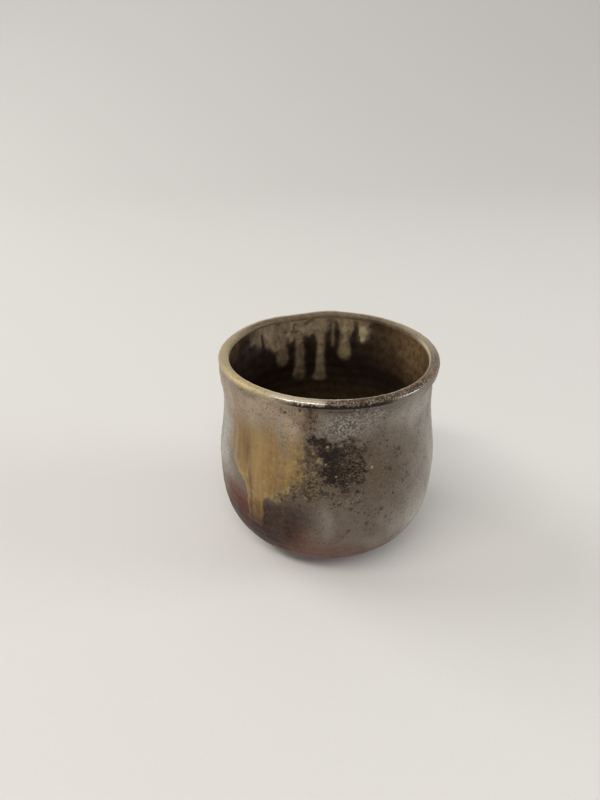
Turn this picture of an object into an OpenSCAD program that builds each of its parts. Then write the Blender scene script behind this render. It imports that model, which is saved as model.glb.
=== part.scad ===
// A handleless wood-fired cup. The clay is one thrown and turned piece. What the
// glazing and the kiln laid on it are pieces of their own: a dark lining, a
// melted roll over the lip, a curtain of ash glaze that ran down the shoulder,
// a crust of half-melted ash beside it, and ash runs inside the far wall.
// Lengths are in millimetres. The cup stands on Z = 0, and its front faces -Y.
// An azimuth is in degrees from the front, positive to the right.

/* [Form] */
// Height of the clay, from the table to the crest of the lip
cup_h = 84.7; // [76:0.1:100]
// Diameter of the clay over the lip
rim_d = 87.5; // [80:0.5:100]
// How far the neck is drawn in from the lip, on the radius
neck_in = 1.4; // [0.8:0.1:4]
// Distance from the crest of the lip down to the neck
neck_drop = 17.4; // [12:0.1:22]
// How far the belly swells past the neck, on the radius
belly_out = 3; // [0.5:0.1:7]
// Height of the belly's widest ring
belly_z = 38.6; // [32:0.1:46]
// Fullness of the curve under the belly, where 2 is an ellipse
belly_fullness = 2.9; // [2.2:0.1:3.6]

/* [Wall] */
// Thickness of the lip
lip_t = 4; // [3:0.1:5]
// Thickness of the wall
wall_t = 4; // [3:0.1:5]
// Thickness of the floor at the middle
floor_t = 6; // [4:0.1:8]

/* [Foot] */
// Diameter of the turned foot
foot_d = 44; // [36:0.5:56]
// Height of the foot
foot_h = 5; // [3:0.1:8]
// Width of the ring that the cup stands on
foot_ring_w = 5; // [3:0.1:8]
// Depth of the hollow turned out inside the foot ring
foot_hollow = 3.4; // [1.5:0.1:6]
// Bevel on the edges of the foot ring
foot_bevel = 0.8; // [0.3:0.1:1.2]

/* [Glaze] */
// Thickness of the dark lining
liner_t = 0.4; // [0.2:0.05:0.8]
// Thickness of the melted roll at the crest of the lip
lip_glaze_t = 0.3; // [0.15:0.05:0.6]
// Thickness of the ash curtain
curtain_t = 0.6; // [0.3:0.05:1]
// Thickness of the ash crust
crust_t = 0.5; // [0.3:0.05:1]
// Thickness of the ash runs inside
inner_run_t = 0.5; // [0.3:0.05:1]

/* [Ash] */
// Distance from the neck up to the top of the ash curtain
curtain_rise = 6; // [2:0.5:8]
// Depth of the curtain's lower edge below the crest of the lip
curtain_drop = 45; // [36:0.5:50]
// Depth of the curtain's long run below the crest of the lip
long_run_drop = 61; // [52:0.5:66]
// Depth of the middle of the crust below the crest of the lip
crust_drop = 28; // [24:0.5:36]
// Height of the crust
crust_size = 27; // [20:0.5:32]
// Distance from the lip's middle down to the top of the runs inside
inner_run_top = 2; // [1:0.5:6]
// Depth of the longest run inside below the crest of the lip
inner_run_drop = 34; // [26:0.5:40]

/* [Hidden] */
$fn = 180;

// Steps along each stretch of the outline
lower_steps = 22;
belly_steps = 12;
flare_steps = 6;
lip_steps = 18;
// Share of a coat's steps over which its free edge thins to nothing
feather_share = 0.2;

// Radii and heights of the rings that set the outline
rim_r = rim_d / 2;
lip_r = lip_t / 2;
lip_centre = [rim_r - lip_r, cup_h - lip_r];
neck_r = rim_r - neck_in;
neck_z = cup_h - neck_drop;
belly_r = neck_r + belly_out;
foot_r = foot_d / 2;
floor_z = foot_hollow + floor_t;
// Distances from the axis, well short of and well past every wall that ash lies on
reach_from = 0.5 * neck_r;
reach_to = 1.2 * belly_r;

// The flare is an arc, upright at the neck and tangent to the lip's circle
lip_to_neck = lip_centre - [neck_r, neck_z];
flare_r = (lip_to_neck * lip_to_neck - lip_r * lip_r) / (2 * (lip_to_neck[0] + lip_r));
flare_centre = [neck_r + flare_r, neck_z];
flare_end = atan2(neck_z - lip_centre[1], flare_centre[0] - lip_centre[0]);

// Middle azimuths of the ash curtain, the crust and the runs inside
curtain_angle = -36;
crust_angle = 2;
inner_run_angle = -171;
// Widths of runs are in degrees of azimuth, like their places, so that they keep to each other.
// Runs of the ash curtain: azimuth from its middle, width, and depth as a share of the curtain's
curtain_runs = [
    [-21, 9.5, 0.69], [-15, 9.5, 0.82], [-9, 8, 0.89], [-3.5, 10, 0.95],
    [3, 9.5, 1], [9.5, 10, 0.98], [15.5, 9.5, 0.89], [21, 8, 0.78],
];
// The long run: azimuth from the curtain's middle, and width
long_run = [-3.5, 10];
// Blobs of crust: azimuth from its middle, height above it and diameter, as shares of the crust's
crust_blobs = [
    [-12, 0.37, 0.3], [-9, 0.15, 0.37], [-4, 0.26, 0.48], [1, 0, 0.7],
    [5, -0.22, 0.52], [8, 0.22, 0.48], [13, 0, 0.33],
];
// Runs inside: azimuth from their middle, width, and depth as a share of the longest
inner_runs = [
    [-37, 9.5, 0.41], [-29.5, 9.5, 0.29], [-22, 10, 0.62], [-14, 10, 0.35], [-6, 10, 1], [2, 10, 0.29],
    [9.5, 10, 0.91], [16, 9.5, 0.44], [23.5, 11, 0.65], [32.5, 11.5, 0.38], [41, 10.5, 0.32],
];
// Width of a run's stem as a share of its round tip
stem_share = 0.85;

// From a to b as t goes from 0 to 1, upright at both ends
function swell(a, b, t) = a + (b - a) * (1 - cos(180 * t)) / 2;
// A point a quarter turn along a squared ellipse, from [r0 + dr, z0] to [r0, z0 - dz]
function squared_arc(r0, z0, dr, dz, turn) =
    [r0 + dr * pow(cos(turn), 2 / belly_fullness), z0 - dz * pow(sin(turn), 2 / belly_fullness)];
function on_circle(centre, radius, angle) = centre + radius * [cos(angle), sin(angle)];
function unit(v) = v / norm(v);
function reversed(list) = [for (i = [len(list) - 1:-1:0]) list[i]];

// The clay's outline, in four stretches
// Outside of the clay, from the top of the foot up to the underside of the lip
wall_outside = [
    for (i = [lower_steps:-1:1])
        squared_arc(foot_r, belly_z, belly_r - foot_r, belly_z - foot_h, 90 * i / lower_steps),
    for (i = [0:belly_steps])
        let (t = i / belly_steps)
        [swell(belly_r, neck_r, t), belly_z + (neck_z - belly_z) * t],
    for (i = [1:flare_steps])
        on_circle(flare_centre, flare_r, 180 + flare_end * i / flare_steps),
];
// Over the lip, from its underside to the inside
lip_over = [
    for (i = [0:lip_steps])
        on_circle(lip_centre, lip_r, flare_end + (180 - flare_end) * i / lip_steps),
];
// Inside of the clay, from the lip down to the middle of the floor
wall_inside = [
    for (i = [0:flare_steps])
        let (t = i / flare_steps)
        [swell(rim_r - lip_t, neck_r - wall_t, t), lip_centre[1] + (neck_z - lip_centre[1]) * t],
    for (i = [1:belly_steps])
        let (t = i / belly_steps)
        [swell(neck_r, belly_r, t) - wall_t, neck_z + (belly_z - neck_z) * t],
    for (i = [1:lower_steps - 1])
        squared_arc(0, belly_z, belly_r - wall_t, belly_z - floor_z, 90 * i / lower_steps),
    [0, floor_z],
];
// Underside, from the middle of the hollow out to the side of the foot
underside = [
    [0, foot_hollow],
    [foot_r - foot_ring_w, foot_hollow],
    [foot_r - foot_ring_w, foot_bevel],
    [foot_r - foot_ring_w + foot_bevel, 0],
    [foot_r - foot_bevel, 0],
    [foot_r, foot_bevel],
];

// The direction square to a line at point i, to the right of the way it runs
function square_to(line, i) =
    let (
        before = line[max(i - 1, 0)],
        after = line[min(i + 1, len(line) - 1)],
        along = unit(after - before)
    )
    [along[1], -along[0]];
// A line moved sideways by each point's own thickness. A point on the axis stays on it.
function laid_on(line, thickness) = [
    for (i = [0:len(line) - 1])
        let (moved = line[i] + thickness[i] * square_to(line, i))
        line[i][0] == 0 ? [0, line[i][1] + thickness[i]] : moved
];
// Thickness at each point of a coat that feathers out at its start and, if asked, at its end
function feathered(count, full, at_end) = [
    for (i = [0:count - 1])
        let (
            step = 1 / (count - 1),
            from_start = i * step / feather_share,
            from_end = at_end ? (1 - i * step) / feather_share : 1
        )
        full * min(1, from_start, from_end)
];
function even(count, full) = [for (i = [0:count - 1]) full];
// The part of a line that lies between two heights
function between(line, low, high) = [for (p = line) if (p[1] >= low && p[1] <= high) p];
// The section of a coat, between a line and the line laid on it, which meet where it feathers out
function coat_section(line, thickness) =
    let (face = laid_on(line, thickness))
    concat(line, [for (i = [len(line) - 1:-1:0]) if (thickness[i] > 0) face[i]]);

// The lining's thickness down the inside, and its face, which the runs inside lie on
liner_depth = feathered(len(wall_inside), liner_t, false);
liner_face = laid_on(wall_inside, liner_depth);
// The stretches of wall that the ash outside and the ash inside lie on
ash_wall = between(wall_outside, foot_h, neck_z + curtain_rise);
inner_run_wall = between(liner_face, cup_h - inner_run_drop - wall_t, lip_centre[1] - inner_run_top);

// A solid turned from a section on the right of the axis
module turned(section) rotate_extrude() polygon(section);
// A prism right through the wall at an azimuth, whose outline is drawn as seen from outside
module facing(azimuth)
    rotate([0, 0, azimuth])
        translate([0, -reach_from, 0])
            rotate([90, 0, 0])
                linear_extrude(reach_to - reach_from)
                    children();
// A run from the level of the lip, on a wall of a radius: a straight stem down to a round tip
module run_outline(radius, turn, width, depth) {
    tip_d = 2 * radius * sin(width / 2) * cos(turn);
    stem_w = stem_share * tip_d;
    translate([radius * sin(turn), cup_h - depth + tip_d / 2]) {
        translate([-stem_w / 2, 0]) square([stem_w, depth - tip_d / 2]);
        circle(d = tip_d);
    }
}
module curtain_prism() facing(curtain_angle) {
    for (run = curtain_runs)
        run_outline(neck_r, run[0], run[1], run[2] * curtain_drop);
    run_outline(neck_r, long_run[0], long_run[1], long_run_drop);
}
module crust_prism() facing(crust_angle) {
    for (blob = crust_blobs)
        translate([neck_r * sin(blob[0]), cup_h - crust_drop + blob[1] * crust_size])
            circle(d = blob[2] * crust_size);
}
module inner_run_prism() facing(inner_run_angle) {
    for (run = inner_runs)
        run_outline(neck_r - wall_t, run[0], run[1], run[2] * inner_run_drop);
}

// The thrown clay with its turned foot
module stoneware_body() color("#8a7b6e")
    turned(concat(underside, wall_outside, lip_over, wall_inside));

// The dark coat inside, feathered out at the lip
module liner_glaze() color("#1d1613")
    turned(coat_section(wall_inside, liner_depth));

// The melted roll over the lip, feathered out on both sides
module lip_glaze() color("#8d7654")
    turned(coat_section(lip_over, feathered(len(lip_over), lip_glaze_t, true)));

// The sheet of ash glaze on the shoulder, feathered out at the top
module ash_curtain() color("#8c6e46")
    intersection() {
        turned(coat_section(ash_wall, reversed(feathered(len(ash_wall), curtain_t, false))));
        curtain_prism();
    }

// The half-melted ash beside it, which stops at the curtain's edge
module ash_crust() color("#33261e")
    difference() {
        intersection() {
            turned(coat_section(ash_wall, even(len(ash_wall), crust_t)));
            crust_prism();
        }
        curtain_prism();
    }

// The ash that ran down the far wall, on the lining
module inner_ash_runs() color("#6b573d")
    intersection() {
        turned(coat_section(inner_run_wall, feathered(len(inner_run_wall), inner_run_t, false)));
        inner_run_prism();
    }

stoneware_body();
liner_glaze();
lip_glaze();
ash_curtain();
ash_crust();
inner_ash_runs();
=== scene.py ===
"""A handleless wood-fired cup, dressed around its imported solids.

The clay is a thrown wall with a turned foot. A dark lining, a melted lip, a curtain of ash
glaze, a crust of half-melted ash and the ash runs inside are laid on it, each a closed mesh.
Lengths are in millimetres until a mesh is made, and azimuths are in degrees from the front,
positive to the right. The cup stands on Z = 0, and its front faces -Y.
"""

from __future__ import annotations

import logging
import math
from collections.abc import Iterable
from dataclasses import dataclass, field
from enum import Enum

import bpy
import numpy as np
from bpy.types import Material, Node, NodeOutputs, NodeTree, Object
from bpy.types import NodeSocket as Socket
from mathutils import Matrix, Vector


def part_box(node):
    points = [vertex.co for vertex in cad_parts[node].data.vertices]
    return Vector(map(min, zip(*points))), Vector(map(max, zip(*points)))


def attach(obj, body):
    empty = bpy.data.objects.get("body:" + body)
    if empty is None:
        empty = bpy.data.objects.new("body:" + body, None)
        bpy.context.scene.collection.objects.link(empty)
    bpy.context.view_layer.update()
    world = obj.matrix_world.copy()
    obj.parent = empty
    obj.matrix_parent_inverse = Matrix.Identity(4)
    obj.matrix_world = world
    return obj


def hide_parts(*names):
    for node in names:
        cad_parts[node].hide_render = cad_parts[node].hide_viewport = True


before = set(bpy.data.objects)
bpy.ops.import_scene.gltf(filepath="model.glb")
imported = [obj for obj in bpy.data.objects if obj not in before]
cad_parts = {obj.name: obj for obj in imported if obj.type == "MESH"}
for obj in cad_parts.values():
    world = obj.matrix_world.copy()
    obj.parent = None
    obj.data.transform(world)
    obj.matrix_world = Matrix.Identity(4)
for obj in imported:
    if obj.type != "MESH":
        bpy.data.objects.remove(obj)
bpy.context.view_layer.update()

LOG = logging.getLogger("cup")
BODY = "root"
MM = 0.001
BAKE_MAP = "OFBake"
SEED = 41
CRISP_FROM = 75.0
FULL_TURN = 360.0
HALF_TURN = 180.0
FACE_SHARE = 0.94
BACK_SHARE = 0.04
TINY = 1e-9
FADE_END = 60.0
DEPTH_LIMIT = 30.0
MEND_ROUNDS = 12
WALL_STEPS = 60
ARC_STEPS = 160
FLARE_STEPS = 40
BEVEL_STEPS = 6
Array = np.ndarray
Rows = tuple[tuple[float, float, float], ...]
Skin = tuple[list[list[int]], Array]
Values = dict[Enum, Array]
SURFACE: dict[str, str] = {"Color": "Color", "Roughness": "Float", "Height": "Float"}


class Mark(Enum):
    """What the fire left on the clay, with painted sheen and shade among them, each a value from 0 to
    1 at every point of a mesh.
    """

    # Partly painted shade low on the front.
    FLASH = "flash_and_shade"
    SMOKE = "smoke_and_shade"
    # Partly painted shade low on the front.
    FROST = "frost"
    # Partly paler clay, partly painted sheen and reflection on the clay's edges.
    PALE = "pale"
    ASH = "ash"
    # Partly painted shade on the right of the middle.
    TOAST_AND_SHADE = "toast_and_shade"
    GRAIN = "grain"


class Coat(Enum):
    """Values that only a coat's own mesh carries."""

    COVER = "cover"
    # Pale edges of a coat; on the lip and the crust also painted highlights.
    EDGE = "edge"
    SHADE = "shade"
    OCHRE = "ochre"
    GRIT = "grit"
    DUST = "dust"
    GLOSS = "gloss"


class Face(Enum):
    """The side of the wall that a surface belongs to."""

    OUTSIDE = "outside"
    INSIDE = "inside"


def smooth(low: float, high: float, value: Array) -> Array:
    """An even S-curve from 0 at low to 1 at high, which may be the smaller of the two."""
    share = np.clip((value - low) / (high - low), 0.0, 1.0)
    return share * share * (3.0 - 2.0 * share)


def turn_between(azimuth: Array, start: float) -> Array:
    """Degrees from one azimuth to another, the short way round."""
    return (azimuth - start + HALF_TURN) % FULL_TURN - HALF_TURN


def bell(value: Array, middle: float, half: float) -> Array:
    """A bell curve of height 1 about a middle."""
    return np.exp(-(((value - middle) / half) ** 2))


def bell_at(azimuth: Array, middle: float, half: float) -> Array:
    """A bell curve of height 1 about an azimuth."""
    return bell(turn_between(azimuth, middle), 0.0, half)


def dome(away: Array, reach: float) -> Array:
    """A rounded grain of height 1 that ends at its reach."""
    return np.clip(1.0 - (away / reach) ** 2, 0.0, 1.0)


def on_drum(azimuth: Array, radius: Array, height: Array) -> Array:
    """Points in space from azimuths, radii and heights.

    Args:
        azimuth: Azimuths of the points.
        radius: Their radii.
        height: Their heights.

    Returns:
        The points, three values each.
    """
    turn = np.radians(azimuth)
    parts = np.broadcast_arrays(radius * np.sin(turn), -radius * np.cos(turn), height)
    return np.stack(parts, axis=-1)


def linear(code: str) -> tuple[float, float, float, float]:
    """A colour as Blender holds it.

    Args:
        code: The colour as it is seen, in the form "#rrggbb".

    Returns:
        Linear red, green and blue, and an alpha of 1.
    """
    levels = [int(code[i : i + 2], 16) / 255.0 for i in (1, 3, 5)]
    red, green, blue = (
        v / 12.92 if v <= 0.04045 else ((v + 0.055) / 1.055) ** 2.4 for v in levels
    )
    return red, green, blue, 1.0


class KilnNoise:
    """Seeded smooth noise and scattered grains, over points in millimetres."""

    TABLE = 256
    GAIN = 1.6
    LAYER_SHIFT = 17.0
    FAR = 9.0

    def __init__(self, seed: int) -> None:
        """Draws the tables that every later value comes from.

        Args:
            seed: Number that fixes the draws.
        """
        draw = np.random.default_rng(seed)
        self._order = draw.permutation(self.TABLE)
        slopes = draw.normal(size=(self.TABLE, 3))
        self._slopes = slopes / np.linalg.norm(slopes, axis=1, keepdims=True)
        self._seats = draw.random((self.TABLE, 3))
        self._lots = draw.random(self.TABLE)

    def _hash(self, cell: Array) -> Array:
        """A table index for each whole-numbered cell.

        Args:
            cell: Cells, three whole numbers each.

        Returns:
            One index for each cell.
        """
        last = self.TABLE - 1
        index = self._order[cell[..., 0] & last]
        index = self._order[(index + cell[..., 1]) & last]
        return self._order[(index + cell[..., 2]) & last]

    def at(self, points: Array, size: float) -> Array:
        """Smooth noise.

        Args:
            points: Points in space, three values each.
            size: Size of one hump.

        Returns:
            One value for each point, from about -1 to 1.
        """
        spot = points / size
        base = np.floor(spot).astype(int)
        inner = spot - base
        ease = inner**3 * (inner * (inner * 6.0 - 15.0) + 10.0)
        total = np.zeros(points.shape[:-1])
        for corner in np.ndindex(2, 2, 2):
            step = np.array(corner)
            rise = ((inner - step) * self._slopes[self._hash(base + step)]).sum(axis=-1)
            total += rise * np.where(step == 1, ease, 1.0 - ease).prod(axis=-1)
        return self.GAIN * total

    def layered(self, points: Array, size: float, layers: int = 3) -> Array:
        """Smooth noise with finer layers, each half the size and half the strength."""
        shift = self.LAYER_SHIFT
        return sum(self.at(points + shift * i, size / 2**i) / 2**i for i in range(layers))

    def grains(self, points: Array, size: float) -> tuple[Array, Array]:
        """Scattered grains.

        Args:
            points: Points in space, three values each.
            size: Mean distance between grains.

        Returns:
            The distance to the nearest grain in sizes, and that grain's own lot from 0 to 1.
        """
        spot = points / size
        base = np.floor(spot).astype(int)
        nearest = np.full(points.shape[:-1], self.FAR)
        lot = np.zeros(points.shape[:-1])
        for shift in np.ndindex(3, 3, 3):
            cell = base + np.array(shift) - 1
            index = self._hash(cell)
            away = np.linalg.norm(spot - cell - self._seats[index], axis=-1)
            closer = away < nearest
            nearest = np.where(closer, away, nearest)
            lot = np.where(closer, self._lots[index], lot)
        return nearest, lot


@dataclass(frozen=True)
class CupForm:
    """The turned outline of the clay, with the sizes of its solid."""

    height: float
    rim_r: float = 43.75
    neck_in: float = 1.4
    neck_drop: float = 17.4
    belly_out: float = 3.0
    belly_z: float = 38.6
    fullness: float = 2.9
    lip_t: float = 4.0
    wall_t: float = 4.0
    floor_t: float = 6.0
    foot_r: float = 22.0
    foot_h: float = 5.0
    ring_w: float = 5.0
    hollow: float = 3.4
    bevel: float = 0.8

    @property
    def neck_r(self) -> float:
        """Radius of the neck."""
        return self.rim_r - self.neck_in

    @property
    def neck_z(self) -> float:
        """Height of the neck."""
        return self.height - self.neck_drop

    @property
    def belly_r(self) -> float:
        """Radius of the belly's widest ring."""
        return self.neck_r + self.belly_out

    @property
    def floor_z(self) -> float:
        """Height of the inside floor on the axis."""
        return self.hollow + self.floor_t

    @property
    def lip_r(self) -> float:
        """Radius of the lip's round section."""
        return self.lip_t / 2.0

    @property
    def lip_centre(self) -> Array:
        """Radius and height of the middle of the lip's round section."""
        return np.array([self.rim_r - self.lip_r, self.height - self.lip_r])

    def _flare(self) -> tuple[Array, float, float]:
        """Middle, radius and end angle of the arc from the neck to the lip.

        Returns:
            The three values.
        """
        span = self.lip_centre - np.array([self.neck_r, self.neck_z])
        radius = (span @ span - self.lip_r**2) / (2.0 * (span[0] + self.lip_r))
        middle = np.array([self.neck_r + radius, self.neck_z])
        fall = self.neck_z - self.lip_centre[1]
        return middle, radius, math.atan2(fall, middle[0] - self.lip_centre[0])

    def _squared_arc(self, inner: float, across: float, drop: float, turn: Array) -> Array:
        """A quarter of a squared ellipse, from the belly at turn 0 down and in.

        Args:
            inner: Radius where it ends.
            across: How far out it reaches.
            drop: How far it falls.
            turn: Turns along it, up to a quarter.

        Returns:
            Points of the outline.
        """
        power = 2.0 / self.fullness
        radius = inner + across * np.abs(np.cos(turn)) ** power
        return np.stack([radius, self.belly_z - drop * np.sin(turn) ** power], axis=-1)

    @staticmethod
    def _swell(start: Array, end: Array, steps: int = WALL_STEPS) -> Array:
        """A line between two points of the outline that is upright at both.

        Args:
            start: First point.
            end: Last point.
            steps: Number of points.

        Returns:
            Points of the outline.
        """
        share = np.linspace(0.0, 1.0, steps)
        ease = (1.0 - np.cos(math.pi * share)) / 2.0
        radius = start[0] + (end[0] - start[0]) * ease
        return np.stack([radius, start[1] + (end[1] - start[1]) * share], axis=-1)

    @staticmethod
    def _around(middle: Array, radius: float, start: float, end: float, steps: int) -> Array:
        """Points of an arc of the outline."""
        turn = np.linspace(start, end, steps)
        return middle + radius * np.stack([np.cos(turn), np.sin(turn)], axis=-1)

    def outside(self) -> Array:
        """Outside of the clay, from the top of the foot up to the underside of the lip.

        Returns:
            Points of the outline.
        """
        quarter = np.linspace(math.pi / 2.0, 0.0, ARC_STEPS)
        across, drop = self.belly_r - self.foot_r, self.belly_z - self.foot_h
        lower = self._squared_arc(self.foot_r, across, drop, quarter)
        belly = np.array([self.belly_r, self.belly_z])
        upper = self._swell(belly, np.array([self.neck_r, self.neck_z]))
        middle, radius, end = self._flare()
        flare = self._around(middle, radius, math.pi, math.pi + end, FLARE_STEPS)
        return np.concatenate([lower, upper[1:], flare[1:]])

    def over_lip(self) -> Array:
        """Over the lip, from its underside to the inside."""
        end = self._flare()[2]
        return self._around(self.lip_centre, self.lip_r, end, math.pi, WALL_STEPS)

    def inside(self) -> Array:
        """Inside of the clay, from the lip down to the middle of the floor.

        Returns:
            Points of the outline.
        """
        neck = np.array([self.neck_r - self.wall_t, self.neck_z])
        belly = np.array([self.belly_r - self.wall_t, self.belly_z])
        start = np.array([self.rim_r - self.lip_t, self.lip_centre[1]])
        quarter = np.linspace(0.0, math.pi / 2.0, ARC_STEPS)
        drop = self.belly_z - self.hollow - self.floor_t
        bowl = self._squared_arc(0.0, belly[0], drop, quarter)
        bowl[-1, 0] = 0.0
        return np.concatenate([self._swell(start, neck), self._swell(neck, belly)[1:], bowl[1:]])

    def underside(self) -> Array:
        """Underside, from the middle of the hollow round the foot ring to the top of the foot.

        Returns:
            Points of the outline.
        """
        inner, soft = self.foot_r - self.ring_w, self.bevel
        quarter = math.pi / 2.0
        bevels = [
            self._around(np.array(middle), soft, start, end, BEVEL_STEPS)
            for middle, start, end in (
                ((inner - soft, self.hollow - soft), quarter, 0.0),
                ((inner + soft, soft), -2 * quarter, -quarter),
                ((self.foot_r - soft, soft), -quarter, 0.0),
            )
        ]
        return np.concatenate([[[0.0, self.hollow]], *bevels, [[self.foot_r, self.foot_h]]])


def even_steps(line: Array, step: float) -> Array:
    """The same line with its points about one step apart.

    Args:
        line: Points of an outline.
        step: Distance between points.

    Returns:
        The points along the line, with both ends kept.
    """
    along = np.concatenate([[0.0], np.cumsum(np.linalg.norm(np.diff(line, axis=0), axis=1))])
    places = np.linspace(0.0, along[-1], max(2, round(along[-1] / step) + 1))
    return np.stack([np.interp(places, along, line[:, i]) for i in (0, 1)], axis=-1)


def square_to(line: Array) -> Array:
    """The direction square to a line at each point, to the right of the way it runs.

    Args:
        line: Points of a line.

    Returns:
        A direction of length 1 for each point.
    """
    along = np.gradient(line, axis=0)
    along /= np.maximum(np.linalg.norm(along, axis=1, keepdims=True), TINY)
    return np.stack([along[:, 1], -along[:, 0]], axis=-1)


@dataclass(frozen=True)
class Spot:
    """A spot of one mark on the clay: its middle, half sizes and strength, and the kind of its edge.

    A firm spot has a harder edge, a square one has straighter sides, and a steady one, with a
    wander near 0, keeps its sides where they are.
    """

    azimuth: float
    height: float
    half_turn: float
    half_height: float
    strength: float
    firm: float = 1.0
    square: float = 2.0
    wander: float = 1.0

    def at(self, azimuth: Array, height: Array, drift: tuple[Array, Array]) -> Array:
        """The spot's strength at each point, with its sides moved by the drift.

        Args:
            azimuth: Azimuths of the points.
            height: Their heights.
            drift: How far the sides move, as turns and heights.

        Returns:
            A value from 0 to 1 at each point.
        """
        turned, moved = azimuth + self.wander * drift[0], height + self.wander * drift[1]
        across = np.abs(turn_between(turned, self.azimuth)) / self.half_turn
        along = np.abs(moved - self.height) / self.half_height
        away = (across**self.square + along**self.square) ** self.firm
        return self.strength * np.exp(-np.minimum(away, FADE_END))


IRON_DOTS: Rows = (
    (35.8, 60.6, 0.9), (34.4, 57.9, 0.7), (37.2, 58.6, 0.55), (30, 53.9, 0.7), (24.8, 37.7, 0.9),
    (17.8, 32.3, 0.75), (12.2, 42.5, 0.7), (28, 33, 0.65), (9.4, 40.4, 0.65),
    (41, 49, 0.5), (52, 63, 0.55), (88, 55, 0.5), (101, 39, 0.65), (146, 61, 0.6),
    (172, 47, 0.75), (-171, 68, 0.6), (-128, 57, 0.75), (-118, 43, 0.6),
)
SPOTS: dict[Mark, tuple[Spot, ...]] = {
    # The flashing is real, but its spots low on the front are made darker than it, to stand in for
    # shade on the lower belly: partly painted shade.
    Mark.FLASH: (
        Spot(-50, 22, 14, 18.5, 1, 1, 4, 0.3), Spot(-66, 18, 14, 14, 0.9, 1, 4, 0.3),
        Spot(-36, 20, 20, 13, 0.9, 1, 4, 0.5), Spot(-2, 12, 26, 10, 0.8),
        Spot(-13, 24, 9, 7, 0.32), Spot(-88, 16, 18, 13, 0.85, 1, 4, 0.4),
        Spot(24, 10, 16, 7, 0.5), Spot(-12, 77, 4, 6, 0.35), Spot(150, 20, 46, 14, 0.68, 1.5),
        Spot(-140, 26, 32, 13, 0.62, 1.5), Spot(95, 12, 26, 7, 0.5),
        Spot(112, 24, 18, 10, 0.45, 1.5), Spot(-112, 30, 16, 9, 0.45),
    ),
    # The smoky spots low on the front, from -54 to -14 degrees, are partly painted shade on the lower
    # belly; the spots under the lip, the small dark patches and the iron dots are the clay's own.
    Mark.SMOKE: (
        Spot(-28, 30.5, 13, 10.5, 0.84, 1, 5, 0.25),
        Spot(-14, 36, 7, 6.5, 0.66, 1, 3, 0.25), Spot(-34, 21, 14, 8.5, 0.9),
        Spot(-54, 18, 20, 12, 1), Spot(-12.5, 63.5, 2.8, 2.4, 0.7, 2),
        Spot(-12, 78.8, 2.2, 2.1, 0.6), Spot(-13.8, 72.6, 1.6, 1.4, 0.55),
        Spot(-14.8, 67.6, 1.5, 1.3, 0.55), Spot(-15.2, 62, 2.2, 1.8, 0.45),
        Spot(6, 81.3, 20, 1.3, 0.8, 1, 2, 0.35), Spot(-7, 68, 4, 2.6, 0.85),
        Spot(164, 34, 24, 14, 0.65, 1.4), Spot(-112, 16, 22, 9, 0.6), Spot(118, 36, 14, 9, 0.35),
        Spot(-158, 62, 12, 9, 0.3),
        *(Spot(turn, z, 1.3 * half, half, 0.95, wander=0) for turn, z, half in IRON_DOTS),
    ),
    # The two spots right of the crust, at 19 and 30 degrees, are partly painted shade: the right of
    # the middle is darker where less light falls on it between the pale edges.
    Mark.TOAST_AND_SHADE: (
        Spot(19, 57, 8, 13, 1), Spot(30, 50, 14, 22, 0.8), Spot(8, 47, 13, 5, 0.8),
        Spot(13.5, 35.5, 11, 10.5, 0.42, 1, 4, 0.5), Spot(-10, 58, 9, 10, 0.9),
        Spot(-20, 44, 12, 4, 0.7), Spot(-14, 73, 4, 8, 0.3), Spot(175, 66, 34, 16, 0.6),
        Spot(-118, 74, 16, 10, 0.4), Spot(104, 62, 12, 12, 0.45), Spot(-150, 44, 18, 7, 0.4),
    ),
    Mark.FROST: (
        Spot(5, 74, 12, 5, 1), Spot(20, 78.5, 13, 3, 0.6), Spot(-7.5, 71, 3, 2, 0.6),
        Spot(-23.4, 68, 1.8, 7, 0.75), Spot(6, 44, 9, 2.6, 0.45), Spot(128, 62, 16, 16, 0.5),
    ),
    # The pale spots are partly paler clay and partly painted sheen and reflection: the bright strips
    # down the left and right edges and on the right neck, and the soft streak on the lower front.
    Mark.PALE: (
        Spot(-72, 50, 9, 12, 1), Spot(-66, 55, 8, 12, 0.4), Spot(-76, 66, 11, 11, 0.85),
        Spot(-62, 40, 7, 5, 0.5), Spot(-96, 54, 20, 16, 0.55),
        Spot(-1.2, 35, 3.2, 12, 0.2, 1, 3, 0.4), Spot(82, 46, 21, 34, 0.9),
        Spot(58, 22, 24, 13, 0.78), Spot(40, 34, 16, 16, 0.25), Spot(48, 74, 26, 7, 0.55),
        Spot(-166, 52, 22, 16, 0.6), Spot(112, 56, 14, 18, 0.5),
    ),
    Mark.ASH: (
        Spot(-46, 76, 30, 8, 0.58), Spot(-30, 80, 22, 3.5, 0.6), Spot(-20, 72, 8, 10, 0.85),
        Spot(-12, 60, 4, 7, 0.5), Spot(-80, 74, 30, 7, 0.5), Spot(-150, 72, 34, 12, 0.6),
        Spot(150, 74, 26, 8, 0.6), Spot(-122, 50, 10, 14, 0.4),
    ),
    Mark.GRAIN: (
        Spot(-9, 61, 8, 8, 1), Spot(-13, 52, 9, 6, 1), Spot(-23, 43.5, 9, 3, 0.65),
        Spot(-4, 50, 10, 5, 0.75), Spot(5, 46, 10, 3.6, 0.45), Spot(-11, 78.5, 3.5, 3, 0.7),
        Spot(17, 57, 4, 8, 0.5), Spot(12, 67, 6, 4, 0.5), Spot(-12, 73, 3, 9, 0.45),
        Spot(-20, 80, 10, 1.4, 0.6), Spot(108, 70, 10, 6, 0.4), Spot(160, 58, 12, 8, 0.45),
        Spot(-142, 64, 12, 7, 0.4), Spot(-108, 66, 7, 6, 0.35),
    ),
}
LIP_WAVES: Rows = (
    (130, 18, -0.35), (177, 8, 0.3), (-160, 15, -0.8), (54, 30, -0.65),
    (-42, 18, 0.35),
)


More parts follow.
